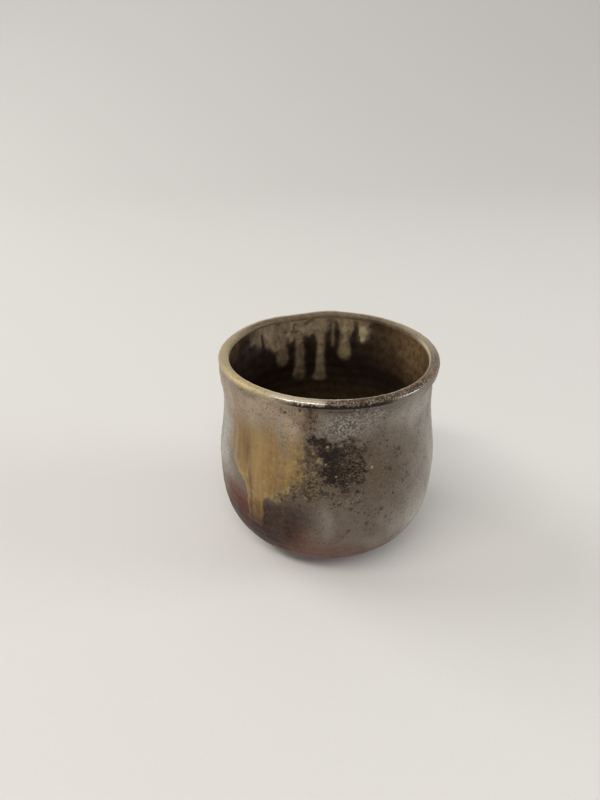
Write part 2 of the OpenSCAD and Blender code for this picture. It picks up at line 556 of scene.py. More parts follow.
@dataclass(frozen=True)
class Thrown:
    """The clay as it came off the wheel: its form, the hand's play and the marks of the fire, with
    painted sheen and shade among them.
    """

    form: CupForm
    noise: KilnNoise
    outer: Array = field(init=False, repr=False)
    inner: Array = field(init=False, repr=False)
    ring_pitch: float = 4.3
    ring_depth: float = 0.05
    inner_pitch: float = 5.2
    lining_t: float = 0.4
    lining_feather: float = 9.0
    inner_depth: float = 0.07
    right_turn: float = 78.0
    left_turn: float = -88.0

    def __post_init__(self) -> None:
        """Keeps both faces of the wall as lines with their directions, lowest point first."""
        for name, line in (("outer", self.form.outside()), ("inner", self.form.inside())):
            table = np.concatenate([line, square_to(line)], axis=1)
            object.__setattr__(self, name, table if name == "outer" else table[::-1])

    def wall(self, height: Array, face: Face) -> tuple[Array, Array, Array]:
        """Radius of a face of the wall at a height, and the direction square to it."""
        table = self.outer if face is Face.OUTSIDE else self.inner
        return tuple(np.interp(height, table[:, 1], table[:, i]) for i in (0, 2, 3))

    def sway(self, azimuth: Array, height: Array, face: Face) -> tuple[Array, Array]:
        """How far the hand moved the wall off a true turned form.

        Args:
            azimuth: Azimuths of the points.
            height: Their heights on the true form.
            face: The side of the wall.

        Returns:
            The move outwards and the move upwards.
        """
        turn = np.radians(azimuth)
        free = smooth(6, 24, height)
        out = free * (0.16 * np.cos(2.0 * turn + 0.7) + 0.09 * np.cos(3.0 * turn - 0.4))
        right = bell_at(azimuth, self.right_turn, 52.0)
        left = bell_at(azimuth, self.left_turn, 48.0)
        lip_z = self.form.height
        out = out + free * (0.35 * left + 0.35 * right * smooth(74, 56, height))
        out = out + smooth(lip_z - 7.0, lip_z - 1.0, height) * (0.3 * right - 0.4 * left)
        if face is Face.OUTSIDE:
            out = out + 0.4 * left * bell(height, lip_z - 8.5, 4.0)
            out = out + right * (
                0.35 * bell(height, lip_z - 4.2, 2.0) - 0.95 * bell(height, lip_z - 8.8, 2.6)
            )
        up = 0.12 * np.cos(5.0 * turn + 1.0)
        for middle, half, rise in LIP_WAVES:
            up = up + rise * bell_at(azimuth, middle, half)
        return out, up * smooth(52.0, lip_z - 2.0, height)

    def lining(self, height: Array) -> Array:
        """Thickness of the dark lining, which thins out at the lip."""
        down = self.form.lip_centre[1] - height
        return self.lining_t * np.clip(0.05 + down / self.lining_feather, 0.0, 1.0)

    def dust(self, azimuth: Array, height: Array) -> Array:
        """How much ash dust melted into the lining at each point.

        Args:
            azimuth: Azimuths of the points.
            height: Their heights.

        Returns:
            A value from 0 to 1 at each point.
        """
        points = on_drum(azimuth, self.wall(height, Face.INSIDE)[0], height)
        reach = self.form.height - height + 5.0 * self.noise.layered(points, 9)
        low = 30.0 + 14.0 * bell_at(azimuth, 90, 18)
        right = bell_at(azimuth, 106, 29) * smooth(low, 4.0, reach)
        gap = bell_at(azimuth, 142, 12)
        dim = bell_at(azimuth, -120, 16)
        band = smooth(9, 2, reach) * (1.0 - 0.75 * gap) * (1.0 - 0.75 * dim)
        # Olive that grows towards the lower inside, lighter there.
        lower_olive = 0.2 * smooth(60, 42, height)
        return np.clip(np.maximum.reduce([0.95 * right, 0.8 * band, lower_olive]), 0.0, 1.0)

    def relief(self, azimuth: Array, height: Array, face: Face) -> Array:
        """Throwing rings and the small unevenness of the clay, as a lift off the true wall.

        Args:
            azimuth: Azimuths of the points.
            height: Their heights.
            face: The side of the wall.

        Returns:
            The lift at each point.
        """
        radius = self.wall(height, face)[0]
        points = on_drum(azimuth, radius, height)
        drift = 1.4 * self.noise.at(points, 19)
        if face is Face.INSIDE:
            wave = np.sin(2.0 * math.pi * (height / self.inner_pitch + azimuth / FULL_TURN) + drift)
            calm = smooth(9.6, 15, height) * smooth(82, 76, height)
            return calm * (self.inner_depth * wave + 0.12 * self.noise.at(points, 9))
        wave = np.sin(2.0 * math.pi * (height / self.ring_pitch + azimuth / FULL_TURN) + drift)
        calm = smooth(5.2, 12, height) * smooth(82, 78, height)
        uneven = 0.10 * self.noise.at(points, 13) + 0.035 * self.noise.layered(points, 3, 2)
        return calm * (self.ring_depth * wave + uneven)

    def place(self, azimuth: Array, spot: tuple[Array, ...], lift: Array, face: Face) -> Array:
        """Points in metres for places on the outline.

        Args:
            azimuth: Azimuths of the points.
            spot: Radius and height on the outline, and the direction square to it.
            lift: How far each point stands off the outline.
            face: The side of the wall.

        Returns:
            The points, three values each.
        """
        radius, height, across, along = spot
        out, up = self.sway(azimuth, height, face)
        return MM * on_drum(azimuth, radius + across * lift + out, height + along * lift + up)

    def marks(self, azimuth: Array, height: Array) -> dict[Mark, Array]:
        """The kiln marks, with painted sheen and shade among them, at points of the outside, with
        edges that wander.

        Args:
            azimuth: Azimuths of the points.
            height: Their heights.

        Returns:
            A value from 0 to 1 at each point, for each mark.
        """
        points = on_drum(azimuth, self.wall(height, Face.OUTSIDE)[0], height)
        drift = (
            4.0 * self.noise.layered(points, 12),
            3.0 * self.noise.layered(points + 61, 12),
        )
        found = {}
        for mark, spots in SPOTS.items():
            clear = np.ones(np.shape(points)[:-1])
            for spot in spots:
                clear = clear * (1.0 - spot.at(azimuth, height, drift))
            found[mark] = 1.0 - clear
        return found


def placed(name: str, data: bpy.types.ID) -> Object:
    """A new object that holds some data, linked to the scene.

    Args:
        name: Name of the object.
        data: Its mesh, lamp or camera.

    Returns:
        The new object.
    """
    made = bpy.data.objects.new(name, data)
    bpy.context.scene.collection.objects.link(made)
    return made


def add_mesh(
    name: str,
    points: Array,
    faces: list[list[int]],
    corners: Array,
    values: Values,
) -> Object:
    """A mesh object with its unwrap and its point values.

    Args:
        name: Name of the piece.
        points: Vertices in metres.
        faces: Vertex indices of each face.
        corners: Unwrapped place of each face corner, in the order of the faces.
        values: Point values by the mark or coat that they belong to.

    Returns:
        The new object, linked to the scene.
    """
    mesh = bpy.data.meshes.new(name)
    mesh.from_pydata(points.tolist(), [], faces)
    layer = mesh.uv_layers.new(name=BAKE_MAP)
    layer.data.foreach_set("uv", corners.astype(np.float32).ravel())
    for kind, value in values.items():
        store = mesh.attributes.new(kind.value, "FLOAT", "POINT")
        store.data.foreach_set("value", value.astype(np.float32).ravel())
    mesh.shade_smooth()
    mesh.validate()
    mesh.set_sharp_from_angle(angle=math.radians(CRISP_FROM))
    return placed(name, mesh)


def turned_grid(line: Array, columns: int) -> tuple[Array, Array, tuple[Array, ...]]:
    """The grid of a turned skin, whose rows go round the cup.

    Args:
        line: Points of the outline that the rows follow.
        columns: Points in each row.

    Returns:
        Azimuth and row of each point, and its place on the outline: radius, height and the
        direction square to it.
    """
    azimuth = np.arange(columns) * FULL_TURN / columns
    turn, row = np.meshgrid(azimuth, np.arange(len(line)))
    table = np.concatenate([line, square_to(line)], axis=1)
    return turn, row, tuple(table[row, i] for i in range(4))


def joined(parts: list[Skin]) -> Skin:
    """Several skins as one, in their order."""
    faces = [face for part in parts for face in part[0]]
    return faces, np.concatenate([part[1] for part in parts])


def turned_faces(rows: int, columns: int, share: Array, closed: bool) -> Skin:
    """Faces of a turned skin, whose rows go round the cup.

    Args:
        rows: Number of rows.
        columns: Points in each row.
        share: Unwrapped place of each row, from 0 to 1, with one more where it is closed.
        closed: Whether the last row joins the first.

    Returns:
        The faces, and the unwrapped place of each corner.
    """
    count = rows if closed else rows - 1
    row, column = (grid.ravel() for grid in np.mgrid[0:count, 0:columns])
    above, after = (row + 1) % rows, (column + 1) % columns
    quads = np.stack(
        [row * columns + column, row * columns + after,
         above * columns + after, above * columns + column], axis=-1,
    )
    left, right = column / columns, (column + 1) / columns
    low, high = share[row], share[row + 1]
    corners = np.stack([left, low, right, low, right, high, left, high], axis=-1)
    return quads.tolist(), corners.reshape(-1, 2)


def capped_faces(
    first: int, count: int, pole: int, place: tuple[float, float], downward: bool
) -> Skin:
    """A fan from one row to a point on the axis.

    Args:
        first: Index of the row's first vertex.
        count: Points in the row.
        pole: Index of the vertex on the axis.
        place: Unwrapped place of the row and of the pole.
        downward: Whether the fan faces down.

    Returns:
        The faces, and the unwrapped place of each corner.
    """
    faces, corners = [], []
    for i in range(count):
        here, after = first + i, first + (i + 1) % count
        left, right = (i / count, place[0]), ((i + 1) / count, place[0])
        middle = ((i + 0.5) / count, place[1])
        faces.append([pole, after, here] if downward else [here, after, pole])
        corners.extend([middle, right, left] if downward else [left, right, middle])
    return faces, np.array(corners)


def tidy_cells(kept: Array, least: int) -> Array:
    """Cells of a patch without specks and without cells that touch only at a corner.

    Args:
        kept: Which cells of the grid are wanted.
        least: Fewest cells that an island may have.

    Returns:
        The cells to build.
    """
    kept = np.pad(kept, 1)
    for _ in range(MEND_ROUNDS):
        here, right = kept[:-1, :-1], kept[:-1, 1:]
        below, across = kept[1:, :-1], kept[1:, 1:]
        falling = here & across & ~right & ~below
        rising = right & below & ~here & ~across
        if not (falling.any() or rising.any()):
            break
        kept[:-1, 1:] |= falling
        kept[:-1, :-1] |= rising
    island = np.where(kept, np.arange(1, kept.size + 1).reshape(kept.shape), 0)
    while True:
        spread = island.copy()
        for axis in (0, 1):
            for step in (-1, 1):
                spread = np.maximum(spread, np.roll(island, step, axis=axis))
        spread = np.where(kept, spread, 0)
        if np.array_equal(spread, island):
            break
        island = spread
    names, sizes = np.unique(island, return_counts=True)
    small = names[sizes < least]
    return (kept & ~np.isin(island, small))[1:-1, 1:-1]


def closed_patch(
    name: str,
    front: Array,
    back: Array,
    kept: Array,
    values: Values,
    outward: bool,
) -> Object:
    """A closed thin piece from a grid of points and the same grid sunk into the wall.

    Args:
        name: Name of the piece.
        front: Grid of points on the face, in metres.
        back: The same grid under the surface.
        kept: Which cells of the grid are built.
        values: Values at the grid's points.
        outward: Whether the grid's columns run to the right as seen from its face.

    Returns:
        The new object.
    """
    rows, columns = front.shape[:2]
    corner = np.arange(rows * columns).reshape(rows, columns)
    loop = [corner[:-1, :-1], corner[:-1, 1:], corner[1:, 1:], corner[1:, :-1]]
    quads = np.stack([c[kept] for c in loop], axis=-1)
    if not outward:
        quads = quads[:, ::-1]
    sides = np.concatenate([np.stack([quads[:, i], quads[:, (i + 1) % 4]], -1) for i in range(4)])
    keys = sides[:, 0] * corner.size + sides[:, 1]
    back_keys = sides[:, 1] * corner.size + sides[:, 0]
    rim = sides[~np.isin(keys, back_keys)]
    walls = np.stack([rim[:, 1], rim[:, 0], rim[:, 0] + corner.size, rim[:, 1] + corner.size], -1)
    every = np.concatenate([quads, quads[:, ::-1] + corner.size, walls])
    used, packed = np.unique(every, return_inverse=True)
    points = np.concatenate([front.reshape(-1, 3), back.reshape(-1, 3)])[used]
    place = np.stack(np.meshgrid(np.linspace(0, 1, columns), np.linspace(0, 1, rows)), axis=-1)
    face_place = place.reshape(-1, 2) * [1.0, FACE_SHARE]
    back_place = place.reshape(-1, 2) * [1.0, BACK_SHARE] + [0.0, 1.0 - BACK_SHARE]
    corners = np.concatenate([face_place, back_place])[every.reshape(-1)]
    doubled = {k: np.tile(v.ravel(), 2)[used] for k, v in values.items()}
    return add_mesh(name, points, packed.reshape(-1, 4).tolist(), corners, doubled)


class Graph:
    """Short ways to add and join nodes in one node tree."""

    MIX_SOCKETS = {"RGBA": (0, 6, 7, 2), "FLOAT": (0, 2, 3, 0)}

    def __init__(self, tree: NodeTree) -> None:
        """Starts on a tree."""
        self.tree = tree

    def put(self, target: Socket, value: object) -> None:
        """Links a socket to an input, or sets the input to a plain value.

        Args:
            target: The input.
            value: A socket, a mark or coat, a tone or a plain value.
        """
        if isinstance(value, Enum):
            value = self.value(value)
        if isinstance(value, Socket):
            self.tree.links.new(value, target)
        else:
            target.default_value = linear(value) if isinstance(value, str) else value

    def node(self, kind: str, inputs: dict | None = None, **settings: object) -> Node:
        """Adds a node.

        Args:
            kind: The node's type, without "ShaderNode".
            inputs: Values or sockets by input name or number.
            **settings: The node's own settings.

        Returns:
            The new node.
        """
        made = self.tree.nodes.new("ShaderNode" + kind)
        for key, value in settings.items():
            setattr(made, key, value)
        for key, value in (inputs or {}).items():
            self.put(made.inputs[key], value)
        return made

    def use(self, group: NodeTree, **inputs: object) -> NodeOutputs:
        """Places a node group with its own values, and hands back its outputs."""
        return self.node("Group", inputs, node_tree=group).outputs

    def place(self) -> Socket:
        """Points of the object in its own space."""
        return self.node("TexCoord").outputs["Object"]

    def value(self, kind: Enum) -> Socket:
        """The point value of a mark or coat."""
        return self.node("Attribute", attribute_name=kind.value).outputs["Fac"]

    def math(self, operation: str, a: object, b: object = 0.0, clamp: bool = False) -> Socket:
        """One step of arithmetic."""
        made = self.node("Math", {0: a, 1: b}, operation=operation, use_clamp=clamp)
        return made.outputs[0]

    def ease(self, value: object, low: object, high: object) -> Socket:
        """An S-curve from 0 at low to 1 at high."""
        inputs = {"Value": value, "From Min": low, "From Max": high}
        return self.node("MapRange", inputs, interpolation_type="SMOOTHSTEP").outputs["Result"]

    def spread(self, value: object, low: float, high: float) -> Socket:
        """A straight line from low at 0 to high at 1."""
        return self.node("MapRange", {"Value": value, "To Min": low, "To Max": high}).outputs[0]

    def mix(self, share: object, first: object, second: object, kind: str = "RGBA") -> Socket:
        """A mix of two colours or of two plain values.

        Args:
            share: Share of the second.
            first: One colour or value.
            second: The other.
            kind: "RGBA" for colours, "FLOAT" for plain values.

        Returns:
            The mix.
        """
        *inputs, output = self.MIX_SOCKETS[kind]
        made = self.node("Mix", data_type=kind)
        for index, value in zip(inputs, (share, first, second)):
            self.put(made.inputs[index], value)
        return made.outputs[output]

    def blend(self, share: object, first: object, second: object) -> Socket:
        """A mix of two plain values."""
        return self.mix(share, first, second, "FLOAT")

    def noise(self, place: object, scale: object, detail: float = 2.0) -> Socket:
        """Smooth noise, from about 0.3 to 0.7."""
        inputs = {"Vector": place, "Scale": scale, "Detail": detail}
        return self.node("TexNoise", inputs).outputs["Fac"]

    def stretched(self, place: object, upright: object) -> Socket:
        """Points with their height scaled, for marks that run down the wall."""
        scale = self.node("CombineXYZ", {"X": 1.0, "Y": 1.0, "Z": upright}).outputs[0]
        return self.vector("MULTIPLY", place, scale)

    def vector(self, operation: str, a: object, b: object) -> Socket:
        """One step of arithmetic on points."""
        return self.node("VectorMath", {0: a, 1: b}, operation=operation).outputs[0]

    def cells(self, place: object, scale: object) -> tuple[Socket, NodeOutputs]:
        """Scattered cells: the distance to each one's middle, and three lots of its own."""
        made = self.node("TexVoronoi", {"Vector": place, "Scale": scale}).outputs
        return made["Distance"], self.node("SeparateColor", {0: made["Color"]}).outputs

    def patches(
        self, place: object, scale: object, detail: float, low: float, high: float
    ) -> Socket:
        """Smooth noise drawn out between a low and a high value."""
        return self.ease(self.noise(place, scale, detail), low, high)

    def part(self, value: object, share: object) -> Socket:
        """A value times a share."""
        return self.math("MULTIPLY", value, share)

    def tints(self, colour: object, steps: Iterable[tuple[object, str]]) -> Socket:
        """A colour with tones laid over it in turn.

        Args:
            colour: The first colour.
            steps: Share and tone of each that follows.

        Returns:
            The last mix.
        """
        for share, tone in steps:
            colour = self.mix(share, colour, tone)
        return colour


class Effect:
    """A shader node group with named inputs and outputs."""

    def __init__(self, name: str, inputs: dict[str, float], outputs: dict[str, str]) -> None:
        """Makes the group and its sockets.

        Args:
            name: Name of the group.
            inputs: Each input's plain value.
            outputs: Each output's socket type, without "NodeSocket".
        """
        self.tree = bpy.data.node_groups.new(name, "ShaderNodeTree")
        for key, value in inputs.items():
            made = self.tree.interface.new_socket(key, in_out="INPUT", socket_type="NodeSocketFloat")
            made.default_value = value
        for key, kind in outputs.items():
            self.tree.interface.new_socket(key, in_out="OUTPUT", socket_type="NodeSocket" + kind)
        self.graph = Graph(self.tree)
        self.given = self.tree.nodes.new("NodeGroupInput").outputs
        self.result = self.tree.nodes.new("NodeGroupOutput").inputs

    def give(self, values: dict[str, Socket]) -> NodeTree:
        """Joins the outputs and hands back the finished group.

        Args:
            values: What each output puts out.

        Returns:
            The finished group.
        """
        for key, value in values.items():
            self.graph.put(self.result[key], value)
        return self.tree


@dataclass(frozen=True)
class ClayTones:
    """Colours of the bare clay that the fire left, and of the painted sheen and shade laid in with
    them.
    """

    grey: str = "#7a7066"
    brown: str = "#625546"
    # These three tones also lay painted shade, low on the front and on the right of the middle.
    flash_and_shade: str = "#66301f"
    smoke_and_shade: str = "#2a130b"
    toast_and_shade: str = "#5a4c3e"
    frost: str = "#a7a298"
    gap: str = "#534c48"
    # Pale: paler clay and pale grains, and the painted sheen and reflection on the clay's edges.
    pale: str = "#b6b1a6"
    ash: str = "#b8a38b"
    grain: str = "#6a5944"
    dark_patch: str = "#3b2c21"
    pale_patch: str = "#937f5c"
    dark_grain: str = "#261b14"
    pale_grain: str = "#a8926c"
    speck: str = "#2c231d"


@dataclass(frozen=True)
class LiningTones:
    """Colours of the dark lining."""

    dark: str = "#261b16"
    brown: str = "#2f231a"
    olive: str = "#735b3e"


class KilnEffects:
    """The node groups that the cup's finishes share."""

    def __init__(self, tones: ClayTones) -> None:
        """Builds each group once.

        Args:
            tones: Colours of the clay.
        """
        self.specks = self._specks()
        self.streaks = self._streaks()
        self.skin = self._skin()
        self.grains = self._grains()
        self.clay = self._clay(tones)
        self.lining = self._lining(LiningTones())

    @staticmethod
    def _specks() -> NodeTree:
        """Iron specks that burned through, uneven in size and in how close they lie.

        Returns:
            The finished group.
        """
        inputs = {"Scale": 400.0, "Amount": 0.1, "Size": 0.35}
        effect = Effect("iron_specks", inputs, {"Mask": "Float"})
        graph, given = effect.graph, effect.given
        place, scale = graph.place(), given["Scale"]
        finer = graph.part(scale, 1.7)
        wander = graph.node("TexNoise", {"Vector": place, "Scale": finer, "Detail": 1.0})
        aside = graph.vector("SUBTRACT", wander.outputs["Color"], (0.5, 0.5, 0.5))
        reach = graph.math("DIVIDE", 0.9, scale)
        moved = graph.node("VectorMath", {0: aside, "Scale": reach}, operation="SCALE")
        away, lots = graph.cells(graph.vector("ADD", place, moved.outputs[0]), scale)
        crowd = graph.patches(place, graph.part(scale, 0.14), 2.0, 0.38, 0.62)
        amount = graph.part(given["Amount"], graph.spread(crowd, 0.3, 1.3))
        chosen = graph.math("LESS_THAN", lots[0], amount)
        size = graph.part(given["Size"], graph.spread(lots[1], 0.4, 1))
        spots = graph.ease(away, size, graph.part(size, 0.15))
        strong = graph.part(chosen, graph.spread(lots[2], 0.3, 1))
        return effect.give({"Mask": graph.part(strong, spots)})

    @staticmethod
    def _streaks() -> NodeTree:
        """Soft streaks that run down the wall.

        Returns:
            The finished group.
        """
        effect = Effect("fall_streaks", {"Scale": 300.0, "Stretch": 0.08}, {"Streak": "Float"})
        graph, given = effect.graph, effect.given
        place = graph.stretched(graph.place(), given["Stretch"])
        return effect.give({"Streak": graph.patches(place, given["Scale"], 3.0, 0.34, 0.66)})

    @staticmethod
    def _skin() -> NodeTree:
        """The skin of a melt: fine ripples as a height, and pinholes as a mask.

        Returns:
            The finished group.
        """
        outputs = {"Height": "Float", "Pits": "Float"}
        effect = Effect("melt_skin", {"Scale": 900.0, "Pinholes": 0.1}, outputs)
        graph, given = effect.graph, effect.given
        place, scale = graph.place(), given["Scale"]
        away, lots = graph.cells(place, scale)
        chosen = graph.math("LESS_THAN", lots[1], given["Pinholes"])
        pits = graph.part(chosen, graph.ease(away, 0.45, 0.15))
        height = graph.math("SUBTRACT", graph.noise(place, scale, 3.0), pits)
        return effect.give({"Height": height, "Pits": pits})

    @staticmethod
    def _grains() -> NodeTree:
        """Half-melted ash on the wall, dark and pale grains as masks, and their height.

        Returns:
            The finished group.
        """
        outputs = {"Dark": "Float", "Pale": "Float", "Height": "Float"}
        effect = Effect("ash_grains", {"Scale": 900.0, "Density": 0.5}, outputs)
        graph, given = effect.graph, effect.given
        place, scale, density = graph.place(), given["Scale"], given["Density"]
        apart = graph.vector("ADD", place, (0.31, 0.17, 0.23))
        some = graph.ease(density, 0.0, 0.25)
        low = graph.spread(density, 0.34, 0.52)
        dark = graph.ease(graph.noise(place, scale, 3.0), low, graph.math("SUBTRACT", low, 0.07))
        high = graph.spread(density, 0.7, 0.59)
        pale = graph.ease(graph.noise(apart, scale, 2.0), high, graph.math("ADD", high, 0.07))
        dark, pale = (graph.part(mask, some) for mask in (dark, pale))
        height = graph.math("SUBTRACT", pale, graph.part(dark, 0.6))
        return effect.give({"Dark": dark, "Pale": pale, "Height": height})

    def _clay(self, tones: ClayTones) -> NodeTree:
        """The fired clay under everything: its colour, roughness and fine height.

        Args:
            tones: Colours of the clay.

        Returns:
            The finished group.
        """
        effect = Effect("fired_clay", {mark.value.title(): 0.0 for mark in Mark}, SURFACE)
        graph, place = effect.graph, effect.graph.place()
        given = {mark: effect.given[mark.value.title()] for mark in Mark}
        frost, grain = given[Mark.FROST], given[Mark.GRAIN]
        cloud = graph.patches(place, 120, 4, 0.36, 0.64)
        wander = graph.spread(graph.noise(place, 500.0, 4.0), -0.35, 0.35)
        steps = [(graph.spread(cloud, 0, 0.55), tones.brown)]
        # Of these marks, the pale one is partly painted sheen and reflection, and the toasted,
        # flashed and smoky ones are partly painted shade.
        for mark, tone in (
            (Mark.PALE, tones.pale),
            (Mark.ASH, tones.ash),
            (Mark.TOAST_AND_SHADE, tones.toast_and_shade),
            (Mark.FLASH, tones.flash_and_shade),
            (Mark.SMOKE, tones.smoke_and_shade),
        ):
            amount = given[mark]
            ragged = graph.math("ADD", amount, graph.part(amount, wander), clamp=True)
            steps.append((ragged, tone))
        mottle = graph.spread(graph.patches(place, 1150, 2, 0.42, 0.62), 0.0, 0.95)
        streak = graph.use(self.streaks, Scale=260, Stretch=0.12)[0]
        steps += [
            (graph.part(frost, 0.7), tones.gap),
            (graph.part(frost, mottle), tones.frost),
            (graph.spread(streak, 0, 0.16), tones.brown),
            (graph.part(grain, 0.6), tones.grain),
        ]
        skin = graph.use(self.skin, Scale=1500, Pinholes=0.08)
        height = skin["Height"]
        for scale, density, dark_tone, pale_tone, share in (
            (480.0, grain, tones.dark_patch, tones.pale_patch, 0.8),
            (1500.0, grain, tones.dark_grain, tones.pale_grain, 0.55),
            (1900.0, 0.7, tones.speck, tones.pale, 0.22),
        ):
            grains = graph.use(self.grains, Scale=scale, Density=density)
            steps.append((graph.part(grains["Dark"], share), dark_tone))
            steps.append((graph.part(grains["Pale"], 0.8 * share), pale_tone))
            if density is grain:
                height = graph.math("ADD", height, grains["Height"])
        peppered = graph.spread(given[Mark.TOAST_AND_SHADE], 0, 0.75)
        for scale, amount, size, share in (
            (900.0, 0.8, 0.62, 0.8),
            (1500.0, 0.5, 0.6, 0.55),
            (600.0, peppered, 0.66, 1.0),
            (430.0, 0.3, 0.26, 0.95),
        ):
            specks = graph.use(self.specks, Scale=scale, Amount=amount, Size=size)[0]
            steps.append((graph.part(specks, share), tones.speck))
        colour = graph.tints(tones.grey, steps)
        rough = graph.spread(cloud, 0.40, 0.52)
        return effect.give({"Color": colour, "Roughness": rough, "Height": height})

    def _lining(self, tones: LiningTones) -> NodeTree:
        """The dark lining with the ash dust in it: its colour, roughness and fine height.

        Args:
            tones: Colours of the lining.

        Returns:
            The finished group.
        """
        effect = Effect("dark_lining", {"Dust": 0.0}, SURFACE)
        graph, place = effect.graph, effect.graph.place()
        cloud = graph.patches(place, 210, 5, 0.42, 0.66)
        mottle = graph.spread(graph.patches(place, 430, 3, 0.34, 0.6), 0.5, 1.0)
        steps = (
            (graph.spread(cloud, 0, 0.8), tones.brown),
            (graph.part(effect.given["Dust"], mottle), tones.olive),
        )
        colour = graph.tints(tones.dark, steps)
        skin = graph.use(self.skin, Scale=700, Pinholes=0.05)
        rough = graph.spread(cloud, 0.34, 0.48)
        return effect.give({"Color": colour, "Roughness": rough, "Height": skin["Height"]})


@dataclass(frozen=True)
class Finish:
    """What every finish of the cup has: its name, its gloss and the depth of its fine bump."""

    name: str
    bump_mm: float = 0.05
    specular: float = 0.14

    def start(self) -> tuple[Material, Graph, Node]:
        """An empty material with its graph and its shader.

        Returns:
            The material, its graph and its shader.
        """
        material = bpy.data.materials.new(self.name)
        material.use_nodes = True
        material.node_tree.nodes.clear()
        graph = Graph(material.node_tree)
        shader = graph.node("BsdfPrincipled")
        shader.inputs["Specular IOR Level"].default_value = self.specular
        output = graph.node("OutputMaterial")
        graph.put(output.inputs["Surface"], shader.outputs["BSDF"])
        return material, graph, shader

    def material(self, effects: KilnEffects) -> Material:
        """The finished material.

        Args:
            effects: The shared node groups.

        Returns:
            The new material.
        """
        material, graph, shader = self.start()
        self.paint(graph, shader, effects)
        return material

    def paint(self, graph: Graph, shader: Node, effects: KilnEffects) -> None:
        """Joins what the finish is made of to its shader."""
        raise NotImplementedError(self.name)

    @staticmethod
    def clay_under(graph: Graph, effects: KilnEffects) -> NodeOutputs:
        """The fired clay, placed in this finish with the mesh's own marks."""
        return graph.use(effects.clay, **{mark.value.title(): mark for mark in Mark})

    @staticmethod
    def lining_under(graph: Graph, effects: KilnEffects) -> NodeOutputs:
        """The dark lining, placed in this finish with the mesh's own dust."""
        return graph.use(effects.lining, Dust=Coat.DUST)

    @staticmethod
    def glass(graph: Graph, shader: Node, amount: object, rough: float, ior: float = 1.65) -> None:
        """Lays a clear glassy coat on the shader, as much of it as the amount says.

        Args:
            graph: The material's graph.
            shader: Its shader.
            amount: How much of the coat shows.
            rough: Its roughness.
            ior: Its index of refraction.
        """
        graph.put(shader.inputs["Coat Weight"], amount)
        shader.inputs["Coat Roughness"].default_value = rough
        shader.inputs["Coat IOR"].default_value = ior

    def dress(
        self, graph: Graph, shader: Node, colour: Socket, rough: Socket, height: Socket
    ) -> None:
        """Joins colour, roughness and fine height to the shader.

        Args:
            graph: The material's graph.
            shader: Its shader.
            colour: Colour of the surface.
            rough: Its roughness.
            height: Its fine height.
        """
        bump = graph.node("Bump", {"Height": height, "Distance": self.bump_mm * MM})
        graph.put(shader.inputs["Base Color"], colour)
        graph.put(shader.inputs["Roughness"], rough)
        graph.put(shader.inputs["Normal"], bump.outputs["Normal"])

    def lay_over(
        self,
        graph: Graph,
        shader: Node,
        under: NodeOutputs,
        coat: tuple[Socket, Socket, Socket],
        top: Iterable[tuple[object, str]] = (),
    ) -> None:
        """Dresses the shader in a coat that lets through what lies under it.

        Args:
            graph: The material's graph.
            shader: Its shader.
            under: Colour, roughness and height of what the coat lies on.
            coat: Colour, roughness and height of the coat.
            top: Shares and tones laid over both.
        """
        cover = graph.value(Coat.COVER)
        colour = graph.tints(graph.mix(cover, under["Color"], coat[0]), top)
        rough = graph.blend(cover, under["Roughness"], coat[1])
        height = graph.blend(cover, under["Height"], coat[2])
        self.dress(graph, shader, colour, rough, height)


@dataclass(frozen=True)
class StonewareFinish(Finish):
    """Bare fired clay: grey-taupe, satin, flashed, smoked and specked, with painted sheen on its
    edges and painted shade low on the front and on the right of the middle.
    """

    name: str = "fired_stoneware"
    bump_mm: float = 0.10

    def paint(self, graph: Graph, shader: Node, effects: KilnEffects) -> None:
        """Shows the clay as it is."""
        self.dress(graph, shader, *self.clay_under(graph, effects).values())


@dataclass(frozen=True)
class AshGlazeFinish(Finish):
    """Golden tan ash glaze in streaks and curds, thin and yellow at its edges."""

    name: str = "golden_ash_glaze"
    bump_mm: float = 0.08
    tan: str = "#87673d"
    pale: str = "#a08756"
    brown: str = "#573c22"
    gold: str = "#744f18"
    yellow: str = "#ab935a"
    speck: str = "#3a2d21"

    def paint(self, graph: Graph, shader: Node, effects: KilnEffects) -> None:
        """Lays the streaked glaze over the clay.

        Args:
            graph: The material's graph.
            shader: Its shader.
            effects: The shared node groups.
        """
        wide, fine = (
            graph.use(effects.streaks, Scale=scale, Stretch=stretch)[0]
            for scale, stretch in ((170.0, 0.10), (900.0, 0.07))
        )
        cloud = graph.patches(graph.place(), 260, 4, 0.4, 0.66)
        curds = graph.use(effects.grains, Scale=850, Density=Coat.GRIT)
        specks = graph.use(effects.specks, Scale=900, Amount=0.12, Size=0.26)
        steps = (
            (graph.spread(wide, 0.1, 0.75), self.pale),
            (graph.spread(fine, 0, 0.14), self.brown),
            (graph.spread(cloud, 0, 0.25), self.pale),
            (graph.part(curds["Dark"], 0.22), self.brown),
            (graph.part(curds["Pale"], 0.6), self.yellow),
            (Coat.OCHRE, self.gold),
            (Coat.SHADE, self.brown),
            (Coat.EDGE, self.yellow),
            (graph.part(specks[0], 0.6), self.speck),
        )
        skin = graph.use(effects.skin, Scale=1200, Pinholes=0.10)
        self.glass(graph, shader, graph.part(Coat.COVER, 0.15), 0.25)
        colour = graph.tints(self.tan, steps)
        coat = (colour, graph.spread(fine, 0.30, 0.42), skin["Height"])
        self.lay_over(graph, shader, self.clay_under(graph, effects), coat)


